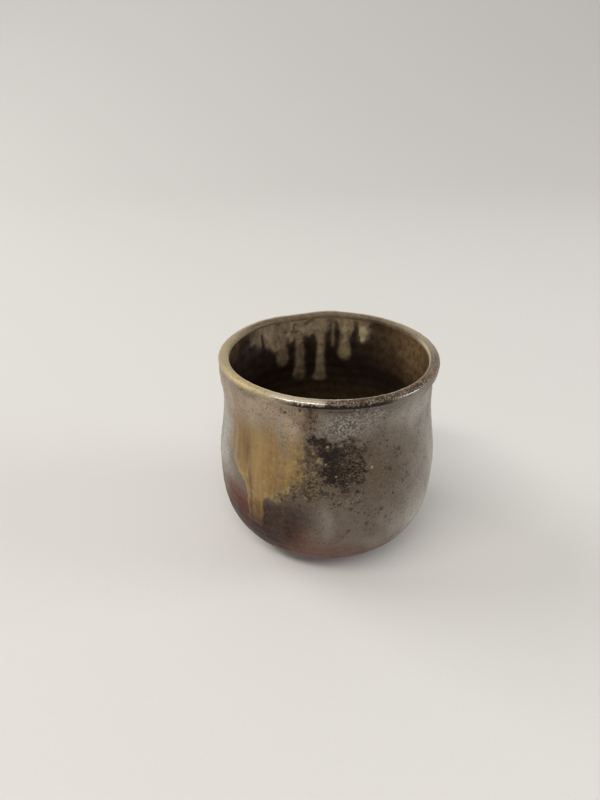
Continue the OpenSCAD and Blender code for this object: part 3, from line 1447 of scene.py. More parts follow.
@dataclass(frozen=True)
class CrustFinish(Finish):
    """Half-melted ash: near-black grains with brown and ochre ones, and pale specks painted as
    highlights.
    """

    name: str = "dark_ash_crust"
    bump_mm: float = 0.12
    specular: float = 0.18
    dark: str = "#1a100a"
    brown: str = "#3e2918"
    pale_grain_and_highlight: str = "#7c6a55"
    ochre: str = "#a39173"
    # Speck: the colour of the pale specks painted as highlights on the crust.
    speck: str = "#d5cabb"

    def paint(self, graph: Graph, shader: Node, effects: KilnEffects) -> None:
        """Lays the dark grains over the clay.

        Args:
            graph: The material's graph.
            shader: Its shader.
            effects: The shared node groups.
        """
        place = graph.place()
        cloud = graph.patches(place, 700, 4, 0.46, 0.66)
        curds = graph.use(effects.grains, Scale=1300, Density=0.8)
        # Pale wavy lines on the crust's right, painted highlights; the same tone also colours the
        # pale grains.
        wave = graph.noise(graph.stretched(place, 2.2), 640.0, 2.0)
        aside = graph.math("ABSOLUTE", graph.math("SUBTRACT", wave, 0.5))
        # Pale specks painted as highlights.
        painted_glint = graph.use(effects.specks, Scale=1500, Amount=0.05, Size=0.3)
        steps = (
            (graph.spread(cloud, 0, 0.4), self.brown),
            (graph.part(curds["Pale"], 0.4), self.pale_grain_and_highlight),
            (graph.part(graph.ease(aside, 0.045, 0.008), Coat.EDGE), self.pale_grain_and_highlight),
            (graph.part(painted_glint[0], 0.7), self.speck),
        )
        top = ((Coat.GRIT, self.brown), (Coat.OCHRE, self.ochre))
        skin = graph.use(effects.skin, Scale=2200, Pinholes=0.2)
        colour = graph.tints(self.dark, steps)
        coat = (colour, graph.spread(cloud, 0.22, 0.5), skin["Height"])
        self.lay_over(graph, shader, self.clay_under(graph, effects), coat, top)


@dataclass(frozen=True)
class LipFinish(Finish):
    """The melted lip: ochre and pinholed on the left, dark and gritty on the right."""

    name: str = "melted_lip_glaze"
    bump_mm: float = 0.09
    specular: float = 0.2
    grey: str = "#9a8d79"
    ochre: str = "#b19b62"
    dark: str = "#523a26"
    pale: str = "#cdbea3"
    pit: str = "#150d08"
    far: str = "#65553f"

    def paint(self, graph: Graph, shader: Node, effects: KilnEffects) -> None:
        """Lays the melted roll over the clay.

        Args:
            graph: The material's graph.
            shader: Its shader.
            effects: The shared node groups.
        """
        cloud = graph.patches(graph.place(), 420, 5, 0.4, 0.64)
        olive, ochre, dark = (
            graph.mix(graph.spread(cloud, 0.0, share), first, second)
            for share, first, second in (
                (0.15, self.grey, self.ochre),
                (0.3, self.ochre, self.pale),
                (0.25, self.dark, self.grey),
            )
        )
        grains = graph.use(effects.grains, Scale=1700, Density=Coat.GRIT)
        skin = graph.use(effects.skin, Scale=1500, Pinholes=0.24)
        specks = graph.use(effects.specks, Scale=800, Amount=0.3, Size=0.3)
        inner = graph.part(Coat.DUST, graph.spread(cloud, 1, 0.8))
        colour = graph.mix(Coat.OCHRE, olive, ochre)
        colour = graph.mix(Coat.GRIT, graph.mix(inner, colour, self.far), dark)
        steps = (
            (graph.part(grains["Dark"], 0.85), self.pit),
            (graph.part(grains["Pale"], 0.65), self.pale),
            (Coat.SHADE, self.pit),
            (graph.part(skin["Pits"], 0.65), self.pit),
            (graph.part(specks[0], 0.65), self.pit),
            # The pale here holds the painted highlights along the inner edge and under the front
            # highlight, and the paler far side.
            (Coat.EDGE, self.pale),
        )
        self.glass(graph, shader, Coat.GLOSS, 0.16, 2.0)
        coat = (graph.tints(colour, steps), graph.spread(cloud, 0.3, 0.42), skin["Height"])
        self.lay_over(graph, shader, self.clay_under(graph, effects), coat)


@dataclass(frozen=True)
class LiningFinish(Finish):
    """The dark lining, near black and glossy, with olive-brown mottling under the lip."""

    name: str = "dark_lining_glaze"
    specular: float = 0.17

    def paint(self, graph: Graph, shader: Node, effects: KilnEffects) -> None:
        """Shows the lining as it is."""
        self.dress(graph, shader, *self.lining_under(graph, effects).values())


@dataclass(frozen=True)
class InnerAshFinish(Finish):
    """Tan and olive ash that ran over the lining, darker at its edges."""

    name: str = "inner_ash_glaze"
    bump_mm: float = 0.06
    specular: float = 0.26
    tan: str = "#928064"
    olive: str = "#685643"
    dark: str = "#3a2c20"
    pale: str = "#c2b48a"

    def paint(self, graph: Graph, shader: Node, effects: KilnEffects) -> None:
        """Lays the ash over the lining.

        Args:
            graph: The material's graph.
            shader: Its shader.
            effects: The shared node groups.
        """
        streak = graph.use(effects.streaks, Scale=300, Stretch=0.4)[0]
        cloud = graph.patches(graph.place(), 420, 4, 0.38, 0.62)
        steps = (
            (graph.spread(streak, 0, 0.8), self.olive),
            (graph.spread(cloud, 0, 0.5), self.olive),
            (Coat.SHADE, self.dark),
            (Coat.OCHRE, self.pale),
        )
        skin = graph.use(effects.skin, Scale=1400, Pinholes=0.14)
        colour = graph.tints(self.tan, steps)
        coat = (colour, graph.spread(cloud, 0.36, 0.5), skin["Height"])
        self.lay_over(graph, shader, self.lining_under(graph, effects), coat)


@dataclass
class Layer:
    """One physical layer of the cup: its piece, the solid that it stands for and its finish."""

    thrown: Thrown
    effects: KilnEffects
    piece_name: str = ""
    node: str = ""
    slot: str = ""
    finish: Finish | None = None

    def settle(self, piece: Object) -> Object:
        """Dresses a piece, and fixes it to the frame in place of its solid.

        Args:
            piece: The piece's object.

        Returns:
            The same object.
        """
        piece.data.materials.append(self.finish.material(self.effects))
        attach(piece, BODY)
        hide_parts(self.node)
        return piece


@dataclass
class StonewareBody(Layer):
    """The thrown clay with its turned foot, a closed turned mesh."""

    piece_name: str = "thrown_clay"
    node: str = "stoneware_body"
    slot: str = "stoneware"
    columns: int = 460
    outside_step: float = 0.7
    hidden_step: float = 4.0
    foot_step: float = 0.9
    lip_step: float = 1.0
    hidden_share: float = 0.08
    unwrap_from: float = 0.02
    unwrap_share: float = 0.96
    turning_pitch: float = 1.6
    turning_depth: float = 0.05
    turning_gap: float = 1.0
    bare_above_foot: float = 1.0
    finish: Finish = StonewareFinish()

    def build(self) -> Object:
        """The clay's mesh in its finish.

        Returns:
            The finished piece.
        """
        thrown, form = self.thrown, self.thrown.form
        below = even_steps(form.underside(), self.foot_step)[1:]
        outside = even_steps(form.outside(), self.outside_step)[1:]
        lip = even_steps(form.over_lip(), self.lip_step)[1:]
        inside = even_steps(form.inside(), self.hidden_step)[1:-1]
        line = np.concatenate([below, outside, lip, inside])
        first_out, last_out = len(below), len(below) + len(outside)
        turn, row, spot = turned_grid(line, self.columns)
        radius, height = spot[:2]
        under = row < first_out
        on_wall = (row >= first_out) & (row < last_out)
        lift = np.where(on_wall, thrown.relief(turn, height, Face.OUTSIDE), 0.0)
        spiral = np.sin(2.0 * math.pi * (radius / self.turning_pitch + turn / FULL_TURN))
        in_hollow = under & (radius < form.foot_r - form.ring_w - self.turning_gap)
        lift = lift + np.where(in_hollow, self.turning_depth * spiral, 0.0)
        points = thrown.place(turn, spot, lift, Face.OUTSIDE)
        inner = thrown.place(turn, spot, lift, Face.INSIDE)
        points = np.where((row >= last_out + len(lip))[..., None], inner, points)
        values = thrown.marks(turn, height)
        bare = under | (height < form.foot_h + self.bare_above_foot)
        for mark in (Mark.GRAIN, Mark.FROST, Mark.SMOKE):
            values[mark] = np.where(bare, 0.0, values[mark])
        return self._close(points, values, line, last_out)

    def _close(
        self, points: Array, values: dict[Mark, Array], line: Array, last_out: int
    ) -> Object:
        """Closes the skin at both ends on the axis.

        Args:
            points: Grid of points in metres.
            values: Point values of the grid.
            line: The outline that the grid follows.
            last_out: First row past the outside.

        Returns:
            The finished piece.
        """
        form = self.thrown.form
        rows, columns = points.shape[:2]
        count = rows * columns
        steps = np.linalg.norm(np.diff(line, axis=0), axis=1)
        steps[last_out:] *= self.hidden_share
        along = np.concatenate([[0.0], np.cumsum(steps)])
        share = self.unwrap_from + self.unwrap_share * along / steps.sum()
        faces, corners = joined([
            turned_faces(rows, columns, share, closed=False),
            capped_faces(0, columns, count, (share[0], 0.0), downward=True),
            capped_faces(count - columns, columns, count + 1, (share[-1], 1.0), downward=False),
        ])
        poles = MM * np.array([[0.0, 0.0, z] for z in (form.hollow, form.floor_z)])
        every = np.concatenate([points.reshape(-1, 3), poles])
        padded = {k: np.append(v, [0.0, 0.0]) for k, v in values.items()}
        return self.settle(add_mesh(self.piece_name, every, faces, corners, padded))


@dataclass
class LinerGlaze(Layer):
    """The dark coat inside, from the lip to the floor, a closed shell."""

    piece_name: str = "dark_lining"
    node: str = "liner_glaze"
    slot: str = "liner_glaze"
    columns: int = 420
    step: float = 0.85
    hidden_step: float = 5.0
    hidden_share: float = 0.2
    sunk: float = 0.6
    unwrap_share: float = 0.98
    unwrap_lip: float = 0.985
    unwrap_pole: float = 0.99
    finish: Finish = LiningFinish()

    def build(self) -> Object:
        """The lining's mesh in its finish.

        Returns:
            The finished piece.
        """
        thrown, columns = self.thrown, self.columns
        face = even_steps(thrown.form.inside(), self.step)[:-1]
        behind = even_steps(thrown.form.inside(), self.hidden_step)[:-1][::-1]
        sheets, dust = [], []
        for line in (face, behind):
            turn, _, spot = turned_grid(line, columns)
            height = spot[1]
            lift = self.sunk
            if line is face:
                lift = thrown.relief(turn, height, Face.INSIDE) + thrown.lining(height)
            sheets.append(thrown.place(turn, spot, lift, Face.INSIDE))
            dust.append(thrown.dust(turn, height))
        steps = np.repeat([1.0, self.hidden_share], [len(face), len(behind)])
        share = self.unwrap_share * np.concatenate([[0.0], np.cumsum(steps)]) / steps.sum()
        faces, corners = turned_faces(len(steps), columns, share, closed=False)
        seam = (len(face) - 1) * columns
        del faces[seam : seam + columns]
        corners = np.delete(corners, np.s_[4 * seam : 4 * (seam + columns)], axis=0)
        points, values = np.concatenate(sheets), np.concatenate(dust)
        return self._close(points, (faces, corners), values, share, len(face))

    def _close(
        self, points: Array, skin: Skin, dust: Array, share: Array, rows_face: int
    ) -> Object:
        """Closes the shell at the axis and along the lip.

        Args:
            points: Rows of the face, then rows of the back from the floor up.
            skin: Faces of both sheets, and the unwrapped places of their corners.
            dust: Ash dust at each point.
            share: Unwrapped place of each row.
            rows_face: Rows of the face.

        Returns:
            The finished piece.
        """
        columns, floor_z = self.columns, self.thrown.form.floor_z
        count, back = points.shape[0] * columns, rows_face * columns
        face_cap, back_cap = (share[rows_face - 1], self.unwrap_pole), (share[rows_face], 1.0)
        index = np.arange(columns)
        after, last_row = (index + 1) % columns, count - columns
        lip = np.stack([last_row + index, last_row + after, after, index], axis=-1)
        place = np.stack([index / columns, np.full(columns, self.unwrap_lip)], axis=-1)
        faces, corners = joined([
            skin,
            capped_faces(back - columns, columns, count, face_cap, downward=False),
            capped_faces(back, columns, count + 1, back_cap, downward=True),
            (lip.tolist(), np.repeat(place, 4, axis=0)),
        ])
        levels = (floor_z + self.thrown.lining_t, floor_z - self.sunk)
        poles = MM * np.array([[0.0, 0.0, z] for z in levels])
        every = np.concatenate([points.reshape(-1, 3), poles])
        values = {Coat.DUST: np.append(dust, [dust[rows_face - 1].mean(), 0.0])}
        return self.settle(add_mesh(self.piece_name, every, faces, corners, values))


@dataclass
class LipGlaze(Layer):
    """The melted roll over the lip, a closed ring."""

    piece_name: str = "lip_roll"
    node: str = "lip_glaze"
    slot: str = "lip_glaze"
    columns: int = 1000
    step: float = 0.24
    depth: float = 0.3
    grit_size: float = 0.8
    grit_height: float = 0.10
    bead_height: float = 0.18
    root_drop: float = 0.4
    root_share: float = 0.65
    root_places: tuple[float, float, float] = (0.96, 0.98, 1.0)
    finish: Finish = LipFinish()

    def build(self) -> Object:
        """The ring's mesh in its finish.

        Returns:
            The finished piece.
        """
        thrown, noise = self.thrown, self.thrown.noise
        line = even_steps(thrown.form.over_lip(), self.step)
        count = len(line)
        turn, row, spot = turned_grid(line, self.columns)
        share = row / (count - 1)
        points = on_drum(turn, *spot[:2])
        values: Values = dict(self._tones(turn, share, points))
        full = smooth(0, 0.22, share) * smooth(1, 0.55, share)
        coat = full * self.depth * (1.0 + 0.25 * noise.at(points, 6))
        away, lot = noise.grains(points, self.grit_size)
        grit = values[Coat.GRIT] * (lot < 0.5) * dome(away, 0.6)
        lumps = 0.05 * noise.layered(points, 2.2, 2)
        ahead = turn_between(turn, 0.0)
        bead = smooth(28, 31, ahead) * smooth(50, 44, ahead) * bell(share, 0.21, 0.045)
        values[Coat.GLOSS] = np.maximum(values[Coat.GLOSS], bead)
        lift = coat + full * (self.grit_height * grit + lumps)
        lift = lift + self.bead_height * bead - 0.03 * smooth(0.1, 0, share)
        skin, inner = (thrown.place(turn, spot, lift, face) for face in (Face.OUTSIDE, Face.INSIDE))
        inward = smooth(0.35, 0.75, share)[..., None]
        skin = skin * (1.0 - inward) + inner * inward
        middle = np.broadcast_to(thrown.form.lip_centre - [0.0, self.root_drop], (2, 2))
        root_spot = (middle[:, :1], middle[:, 1:], 0.0, 0.0)
        deep = thrown.place(turn[:2], root_spot, 0.0, Face.INSIDE)
        under = np.stack([skin[-1], skin[0]])
        under = under * (1.0 - self.root_share) + deep * self.root_share
        grid = np.concatenate([skin, under])
        edges = np.append(np.linspace(0.0, FACE_SHARE, count), self.root_places)
        faces, corners = turned_faces(count + 2, self.columns, edges, closed=True)
        low_edge = share + 0.08 * noise.layered(points, 2.5)
        values[Coat.COVER] = np.maximum(smooth(0.02, 0.3, low_edge), values[Coat.SHADE])
        values.update(thrown.marks(turn, spot[1]))
        padded = {k: np.concatenate([v, v[-1:], v[:1]]) for k, v in values.items()}
        return self.settle(add_mesh(self.piece_name, grid.reshape(-1, 3), faces, corners, padded))

    def _tones(self, turn: Array, share: Array, points: Array) -> dict[Coat, Array]:
        """Where the lip is ochre, gritty, dark along its lower edge, pale and glassy, with painted
        shade under it and painted highlights on it.

        Args:
            turn: Azimuths of the points.
            share: How far over the lip each point lies, from 0 outside to 1 inside.
            points: The points in space.

        Returns:
            A value from 0 to 1 at each point, for each coat.
        """
        noise = self.thrown.noise
        ahead = turn_between(turn, 0.0)
        wander = turn_between(turn + 5.0 * noise.layered(points, 8), 0.0)
        ochre = bell(wander, -50, 27) * (0.35 + 0.65 * smooth(0.62, 0.36, share))
        ochre = np.maximum(ochre, 0.45 * bell(wander, -88, 26))
        grit = smooth(-12, 4, wander) * smooth(106, 74, wander)
        grit = grit * (1.0 - 0.3 * smooth(46, 62, wander))
        front = smooth(-36, -14, wander) * smooth(40, 24, wander)
        hang = 0.22 + 0.05 * noise.layered(points, 2.4) + 0.12 * noise.layered(points + 5, 0.9)
        near = smooth(-80, -50, ahead) * smooth(100, 60, ahead)
        # Painted shade in the groove under the lip's lower edge.
        crease_shade = near * smooth(0.13, 0.03, share)
        burnt = bell_at(turn, 143, 13) * smooth(0.72, 0.86, share)
        hung = front * smooth(0.04, -0.04, share - hang)
        shade = np.maximum.reduce([hung, 0.4 * crease_shade, 0.55 * burnt])
        bright = smooth(-34, -25, wander) * smooth(3, -5, wander)
        along = smooth(-100, -70, ahead) * smooth(114, 94, ahead)
        # A pale line along the lip's inner edge: a painted highlight.
        line_at = 0.66 + 0.16 * smooth(30, 80, np.abs(ahead))
        thin = 0.15 - 0.05 * smooth(0, 16, ahead)
        past = share - line_at
        rim = 0.9 * along * smooth(-thin, 0.06 - thin, past) * smooth(0.12, 0.06, past)
        far = smooth(72, 42, np.abs(turn_between(turn, 184.0)))
        # Cream painted under the front highlight to widen it: a painted highlight.
        painted_glint = 0.45 * bright * bell(share, 0.38, 0.08)
        pale = np.maximum.reduce([rim, painted_glint, 0.6 * far * smooth(0.58, 0.5, share)])
        right = bell_at(turn, 128, 24) * smooth(0.58, 0.8, share)
        tones = {
            Coat.OCHRE: ochre,
            Coat.GRIT: grit,
            Coat.SHADE: shade,
            Coat.EDGE: pale,
            Coat.DUST: np.maximum(far * smooth(0.5, 0.7, share), right),
            Coat.GLOSS: np.maximum(bright, 0.15 * along) * (1.0 - shade),
        }
        return {kind: np.clip(value, 0.0, 1.0) for kind, value in tones.items()}


@dataclass(frozen=True)
class Run:
    """A run of melted ash: its azimuth, the half width of its tip and the height of its end."""

    azimuth: float
    half: float
    end: float
    stem: float = 0.85

    def depth_in(self, azimuth: Array, height: Array, per_degree: float) -> Array:
        """How far inside the run each point lies, in millimetres, below 0 outside it.

        Args:
            azimuth: Azimuths of the points.
            height: Their heights.
            per_degree: Millimetres along the wall for each degree.

        Returns:
            The depth at each point.
        """
        aside = np.abs(turn_between(azimuth, self.azimuth)) * per_degree
        above = height - (self.end + self.half)
        neck = self.half * (self.stem + (1.0 - self.stem) * np.exp(-np.maximum(above, 0.0) / 4.0))
        return np.where(above > 0.0, neck - aside, self.half - np.hypot(aside, above))


def merged(depths: list[Array], soft: float) -> Array:
    """Several depths joined as melted glaze joins, with rounded inside corners."""
    held = (np.clip(depth, -DEPTH_LIMIT, DEPTH_LIMIT) for depth in depths)
    return soft * np.log(sum(np.exp(depth / soft) for depth in held))


@dataclass
class AshPatch(Layer):
    """A patch of ash that lies on one face of the wall, a closed thin mesh."""

    turn_from: float = 0.0
    turn_to: float = 0.0
    low: float = 0.0
    high: float = 0.0
    step: float = 0.35
    face: Face = Face.OUTSIDE
    sunk: float = 0.3
    trim: float = 0.7
    film: float = 0.03
    least_cells: int = 60

    @property
    def per_degree(self) -> float:
        """Millimetres along the wall for each degree of azimuth."""
        form = self.thrown.form
        return math.radians(form.neck_r - (form.wall_t if self.face is Face.INSIDE else 0.0))

    def away(self, turn: Array, height: Array, middle: float, level: float) -> Array:
        """How far each point lies from one place on the wall."""
        return np.hypot(self.per_degree * turn_between(turn, middle), height - level)

    def grid(self) -> tuple[Array, Array, Array]:
        """Azimuths, heights and points in space of the patch's grid.

        Returns:
            The three grids.
        """
        radius = self.thrown.wall(np.array((self.low + self.high) / 2.0), self.face)[0]
        wide = math.radians(abs(self.turn_to - self.turn_from)) * float(radius)
        turn = np.linspace(self.turn_from, self.turn_to, round(wide / self.step))
        height = np.linspace(self.low, self.high, round((self.high - self.low) / self.step))
        turn, height = np.meshgrid(turn, height)
        return turn, height, on_drum(turn, self.thrown.wall(height, self.face)[0], height)

    def lay(self, turn: Array, height: Array, depth: Array, lift: Array, values: Values) -> Object:
        """Builds the patch where it is thick enough to show.

        Args:
            turn: Azimuths of the grid.
            height: Heights of the grid.
            depth: How far inside the patch's outline each point lies.
            lift: How far its face stands off the surface under it.
            values: Point values.

        Returns:
            The new object.
        """
        thrown = self.thrown
        radius, across, along = thrown.wall(height, self.face)
        ground = thrown.relief(turn, height, self.face)
        if self.face is Face.INSIDE:
            ground = ground + thrown.lining(height)
        spot = (radius, height, across, along)
        front = thrown.place(turn, spot, ground + lift, self.face)
        back = thrown.place(turn, spot, ground - self.sunk, self.face)
        inside = depth > -self.trim
        kept = inside[:-1, :-1] & inside[:-1, 1:] & inside[1:, :-1] & inside[1:, 1:]
        kept = tidy_cells(kept, self.least_cells)
        outward = self.face is Face.OUTSIDE
        return closed_patch(self.piece_name, front, back, kept, values, outward)


CURTAIN_RUNS: tuple[Run, ...] = (
    Run(-59, 3.2, 52.5), Run(-54, 3, 48.5), Run(-49.5, 2.8, 45.5), Run(-46, 2.3, 43.4),
    Run(-41, 3, 40), Run(-35.5, 2.8, 40), Run(-31, 2.6, 41.4), Run(-27.5, 2.8, 43.6),
    Run(-25.4, 2.6, 45), Run(-23.5, 2.7, 46.8), Run(-21.6, 2.6, 48.6), Run(-20, 2.5, 50.6),
    Run(-18.6, 2.4, 52.6), Run(-17.4, 2.3, 54.8), Run(-15.6, 2, 60),
)
LONG_RUNS: tuple[Run, ...] = (
    Run(-42, 1.9, 25, 1), Run(-37.3, 2.3, 25, 1),
)


@dataclass
class AshCurtain(AshPatch):
    """The sheet of golden ash glaze on the left shoulder, with its long double run."""

    piece_name: str = "ash_curtain_glaze"
    node: str = "ash_curtain"
    slot: str = "ash_glaze"
    turn_from: float = -70.0
    turn_to: float = -6.0
    low: float = 20.0
    high: float = 79.0
    step: float = 0.33
    trim: float = 3.4
    depth: float = 0.36
    fade_from: float = 62.0
    fade_to: float = 76.0
    merge: float = 0.7
    valley_turn: float = -41.0
    streak_turn: float = -23.4
    brown_turn: float = -47.0
    tip: tuple[float, float] = (-37.0, 27.0)
    granule_size: float = 1.5
    granule_height: float = 0.16
    finish: Finish = AshGlazeFinish()

    def build(self) -> Object:
        """The curtain's mesh in its finish.

        Returns:
            The finished piece.
        """
        noise = self.thrown.noise
        turn, height, points = self.grid()
        turned = turn + 0.7 * noise.layered(points, 5)
        moved = height + 0.7 * noise.layered(points + 40, 4)
        runs = [run.depth_in(turned, moved, self.per_degree) for run in CURTAIN_RUNS + LONG_RUNS]
        inside = merged(runs, self.merge)
        folds = np.stack([points[..., 0], points[..., 1], 0.08 * points[..., 2]], axis=-1)
        ridges = noise.layered(folds, 2.6, 2)
        fade = smooth(self.fade_to, self.fade_from, moved + 3.5 * ridges)
        left = smooth(-66, -50, turned)
        right = smooth(-34, -24, turn)
        low_right = right * smooth(58, 46, height)
        crumble = noise.layered(points, 1.9)
        body = 1.0 - np.exp(-np.maximum(inside, 0.0) / 1.6)
        bead = bell(inside, 0.8, 0.6) * smooth(50, 42, height) * left
        valley_at = self.valley_turn - 0.28 * np.maximum(height - 42.0, 0.0)
        valley_half = 0.9 + 1.6 * smooth(40, 62, height)
        valley = bell_at(turned, valley_at, valley_half) * smooth(72, 54, height)
        tip = bell(self.away(turn, height, *self.tip), 0.0, 2.6)
        away, lot = noise.grains(points + 11, self.granule_size)
        granule = (lot < 0.55) * dome(away, 0.55) * bell(inside, -0.8, 1.9)
        granule = granule * smooth(-34, -26, turn) * smooth(60, 50, height)
        lift = self.depth * body * (0.3 + 0.7 * left) * (1.0 + 0.22 * ridges)
        lift = lift + 0.12 * bead + 0.2 * tip * body - 0.18 * valley * body
        lift = lift + 0.12 * right * body * np.maximum(crumble, 0.0)
        lift = np.maximum(fade * (lift + self.granule_height * granule), self.film)
        streak = bell_at(turned, self.streak_turn, 1.5) * bell(height, 67, 8)
        soft = 0.6 + 2.4 * right + 0.9 * low_right + 1.8 * (1.0 - left)
        loose = crumble * (0.3 + 2.4 * right + 0.8 * low_right)
        cover = smooth(-1, 1, (inside - 0.3 + loose) / soft)
        ebb = 0.1 + 0.9 * smooth(24.5, 32, moved)
        cover = 0.95 * cover * fade * ebb * (0.25 + 0.75 * left) * (1.0 - 0.7 * streak)
        rim = bell(inside + crumble, 0.4, 0.8) * smooth(58, 48, height)
        edge = (0.55 + 0.35 * low_right) * rim * smooth(26, 42, height)
        paler = 0.3 * bell(turn, -20, 6) * bell(height, 56, 7)
        golden = 0.62 * bell(inside, 3.4, 2.2) * low_right
        brown = bell_at(turned, self.brown_turn, 6.0) * bell(height, 56, 11)
        shade = (0.25 + 0.5 * smooth(52, 44, height)) * valley
        shade = shade + 0.2 * streak + 0.42 * brown + 0.6 * smooth(42, 31, height)
        values: Values = {
            **self.thrown.marks(turn, height),
            Coat.COVER: np.maximum(cover, 0.75 * smooth(0.1, 0.6, granule)),
            Coat.EDGE: np.clip(np.maximum.reduce([edge, paler, 0.9 * granule]), 0.0, 1.0),
            Coat.OCHRE: golden + 0.85 * smooth(42, 33, height),
            Coat.SHADE: np.clip(shade, 0.0, 1.0),
            Coat.GRIT: 0.3 + 0.7 * right,
        }
        return self.settle(self.lay(turn, height, inside, lift, values))


CRUST_BLOBS: Rows = (
    (-10, 66.7, 4), (-7, 60.8, 5), (-2, 63.7, 6), (3, 56.7, 9.4),
    (7, 50.8, 6.5), (10, 62.6, 6.5), (15, 56.7, 4.5),
)
CORE_BLOBS: Rows = (
    (4.5, 58.6, 6), (8.2, 64.2, 4.2), (0.5, 63.6, 3.8), (7.6, 53.6, 4.8), (1, 55.6, 4.2),
    (11.2, 58.6, 3.4), (-4.5, 67.2, 2), (-8.2, 68.4, 2),
)
BEADS: Rows = (
    (19.6, 56.6, 0.9), (2.1, 54.6, 0.5), (-2.2, 66.6, 0.75), (16, 67.4, 0.4), (-2.9, 59.4, 0.6),
)
CLUMPS: Rows = (
    (-5.8, 60.6, 1.25), (-9.2, 64, 1), (-13.4, 58.4, 1.2), (-8, 55.6, 0.9), (-14.6, 54, 1),
)


@dataclass
class AshCrust(AshPatch):
    """The dark, granular patch of half-melted ash on the front, with its grains as relief."""

    piece_name: str = "ash_crust_grains"
    node: str = "ash_crust"
    slot: str = "ash_crust"
    turn_from: float = -19.0
    turn_to: float = 25.0
    low: float = 41.0
    high: float = 74.0
    step: float = 0.21
    trim: float = 1.8
    merge: float = 0.8
    big_grain: float = 1.7
    small_grain: float = 0.95
    finish: Finish = CrustFinish()

    def build(self) -> Object:
        """The crust's mesh in its finish.

        Returns:
            The finished piece.
        """
        noise = self.thrown.noise
        turn, height, points = self.grid()
        turned = turn + 2.0 * noise.layered(points, 4)
        moved = height + 1.6 * noise.layered(points + 23, 4)
        inside, core = (
            merged([half - self.away(turned, moved, *place) for *place, half in blobs], self.merge)
            for blobs in (CRUST_BLOBS, CORE_BLOBS)
        )
        big_away, big_lot = noise.grains(points, self.big_grain)
        away, lot = noise.grains(points + 7, self.small_grain)
        thick = smooth(-1.5, 2.5, core)
        within = smooth(-0.6, 1.4, inside)
        big = dome(big_away, 0.7) * (big_lot < 0.3 + 0.3 * thick)
        small = dome(away, 0.65) * (lot < 0.4 + 0.45 * thick)
        strew = noise.layered(points + 3, 1.3)
        bead = np.maximum.reduce(
            [dome(self.away(turn, height, *place), half) for *place, half in BEADS]
        )
        clump = np.maximum.reduce([
            smooth(1.3, 0.3, self.away(turn, height, *place) / half + 0.9 * strew)
            for *place, half in CLUMPS
        ])
        lift = within * (0.16 * thick + 0.24 * big * (0.4 + 0.6 * thick) + 0.18 * small)
        lift = np.maximum(lift + 0.3 * bead + 0.16 * clump, self.film)
        ragged = core + 2.2 * noise.layered(points, 2.6) + 1.4 * noise.layered(points + 9, 1)
        grain = within * np.maximum(big, small)
        values: Values = {
            **self.thrown.marks(turn, height),
            Coat.COVER: smooth(-1.6, 1.4, ragged),
            # Where the crust's pale wavy lines, painted highlights, lie.
            Coat.EDGE: 0.7 * smooth(1, 8, turned) * smooth(-1.5, 1, core),
            Coat.OCHRE: np.maximum(0.7 * smooth(0.1, 0.9, bead), 0.55 * clump),
            Coat.GRIT: 0.55 * grain * smooth(3, -3, core) * (lot > 0.25),
        }
        return self.settle(self.lay(turn, height, inside, lift, values))


INNER_RUNS: tuple[Run, ...] = (
    Run(153.2, 1.3, 72.4, 1.2), Run(151.6, 1.5, 75.6, 1), Run(155.2, 1.6, 75, 1),
    Run(166, 3.3, 62.8, 0.6),
    Run(174.4, 0.6, 69, 0.9), Run(182.6, 3.4, 49.5, 0.6), Run(190.5, 2, 75.5, 0.8),
    Run(197.6, 3.6, 51.8, 0.58), Run(203.2, 1.6, 72.5, 0.7), Run(210.8, 3.4, 61.6, 0.66),
    Run(216.4, 2, 69.5, 0.8), Run(221.2, 2, 72, 0.7), Run(230.2, 1.8, 74.2, 0.7),
    Run(235.5, 1.6, 77.8, 0.8),
)
PALE_DROPS: tuple[tuple[float, float, float, float], ...] = (
    (153.4, 77.4, 2.7, 2.6), (153.2, 75, 1.6, 2.9),
)
INNER_NOTCHES: Rows = (
    (226, 2, 4), (173.6, 3.4, 5.5), (158.8, 2.4, 5.5),
)


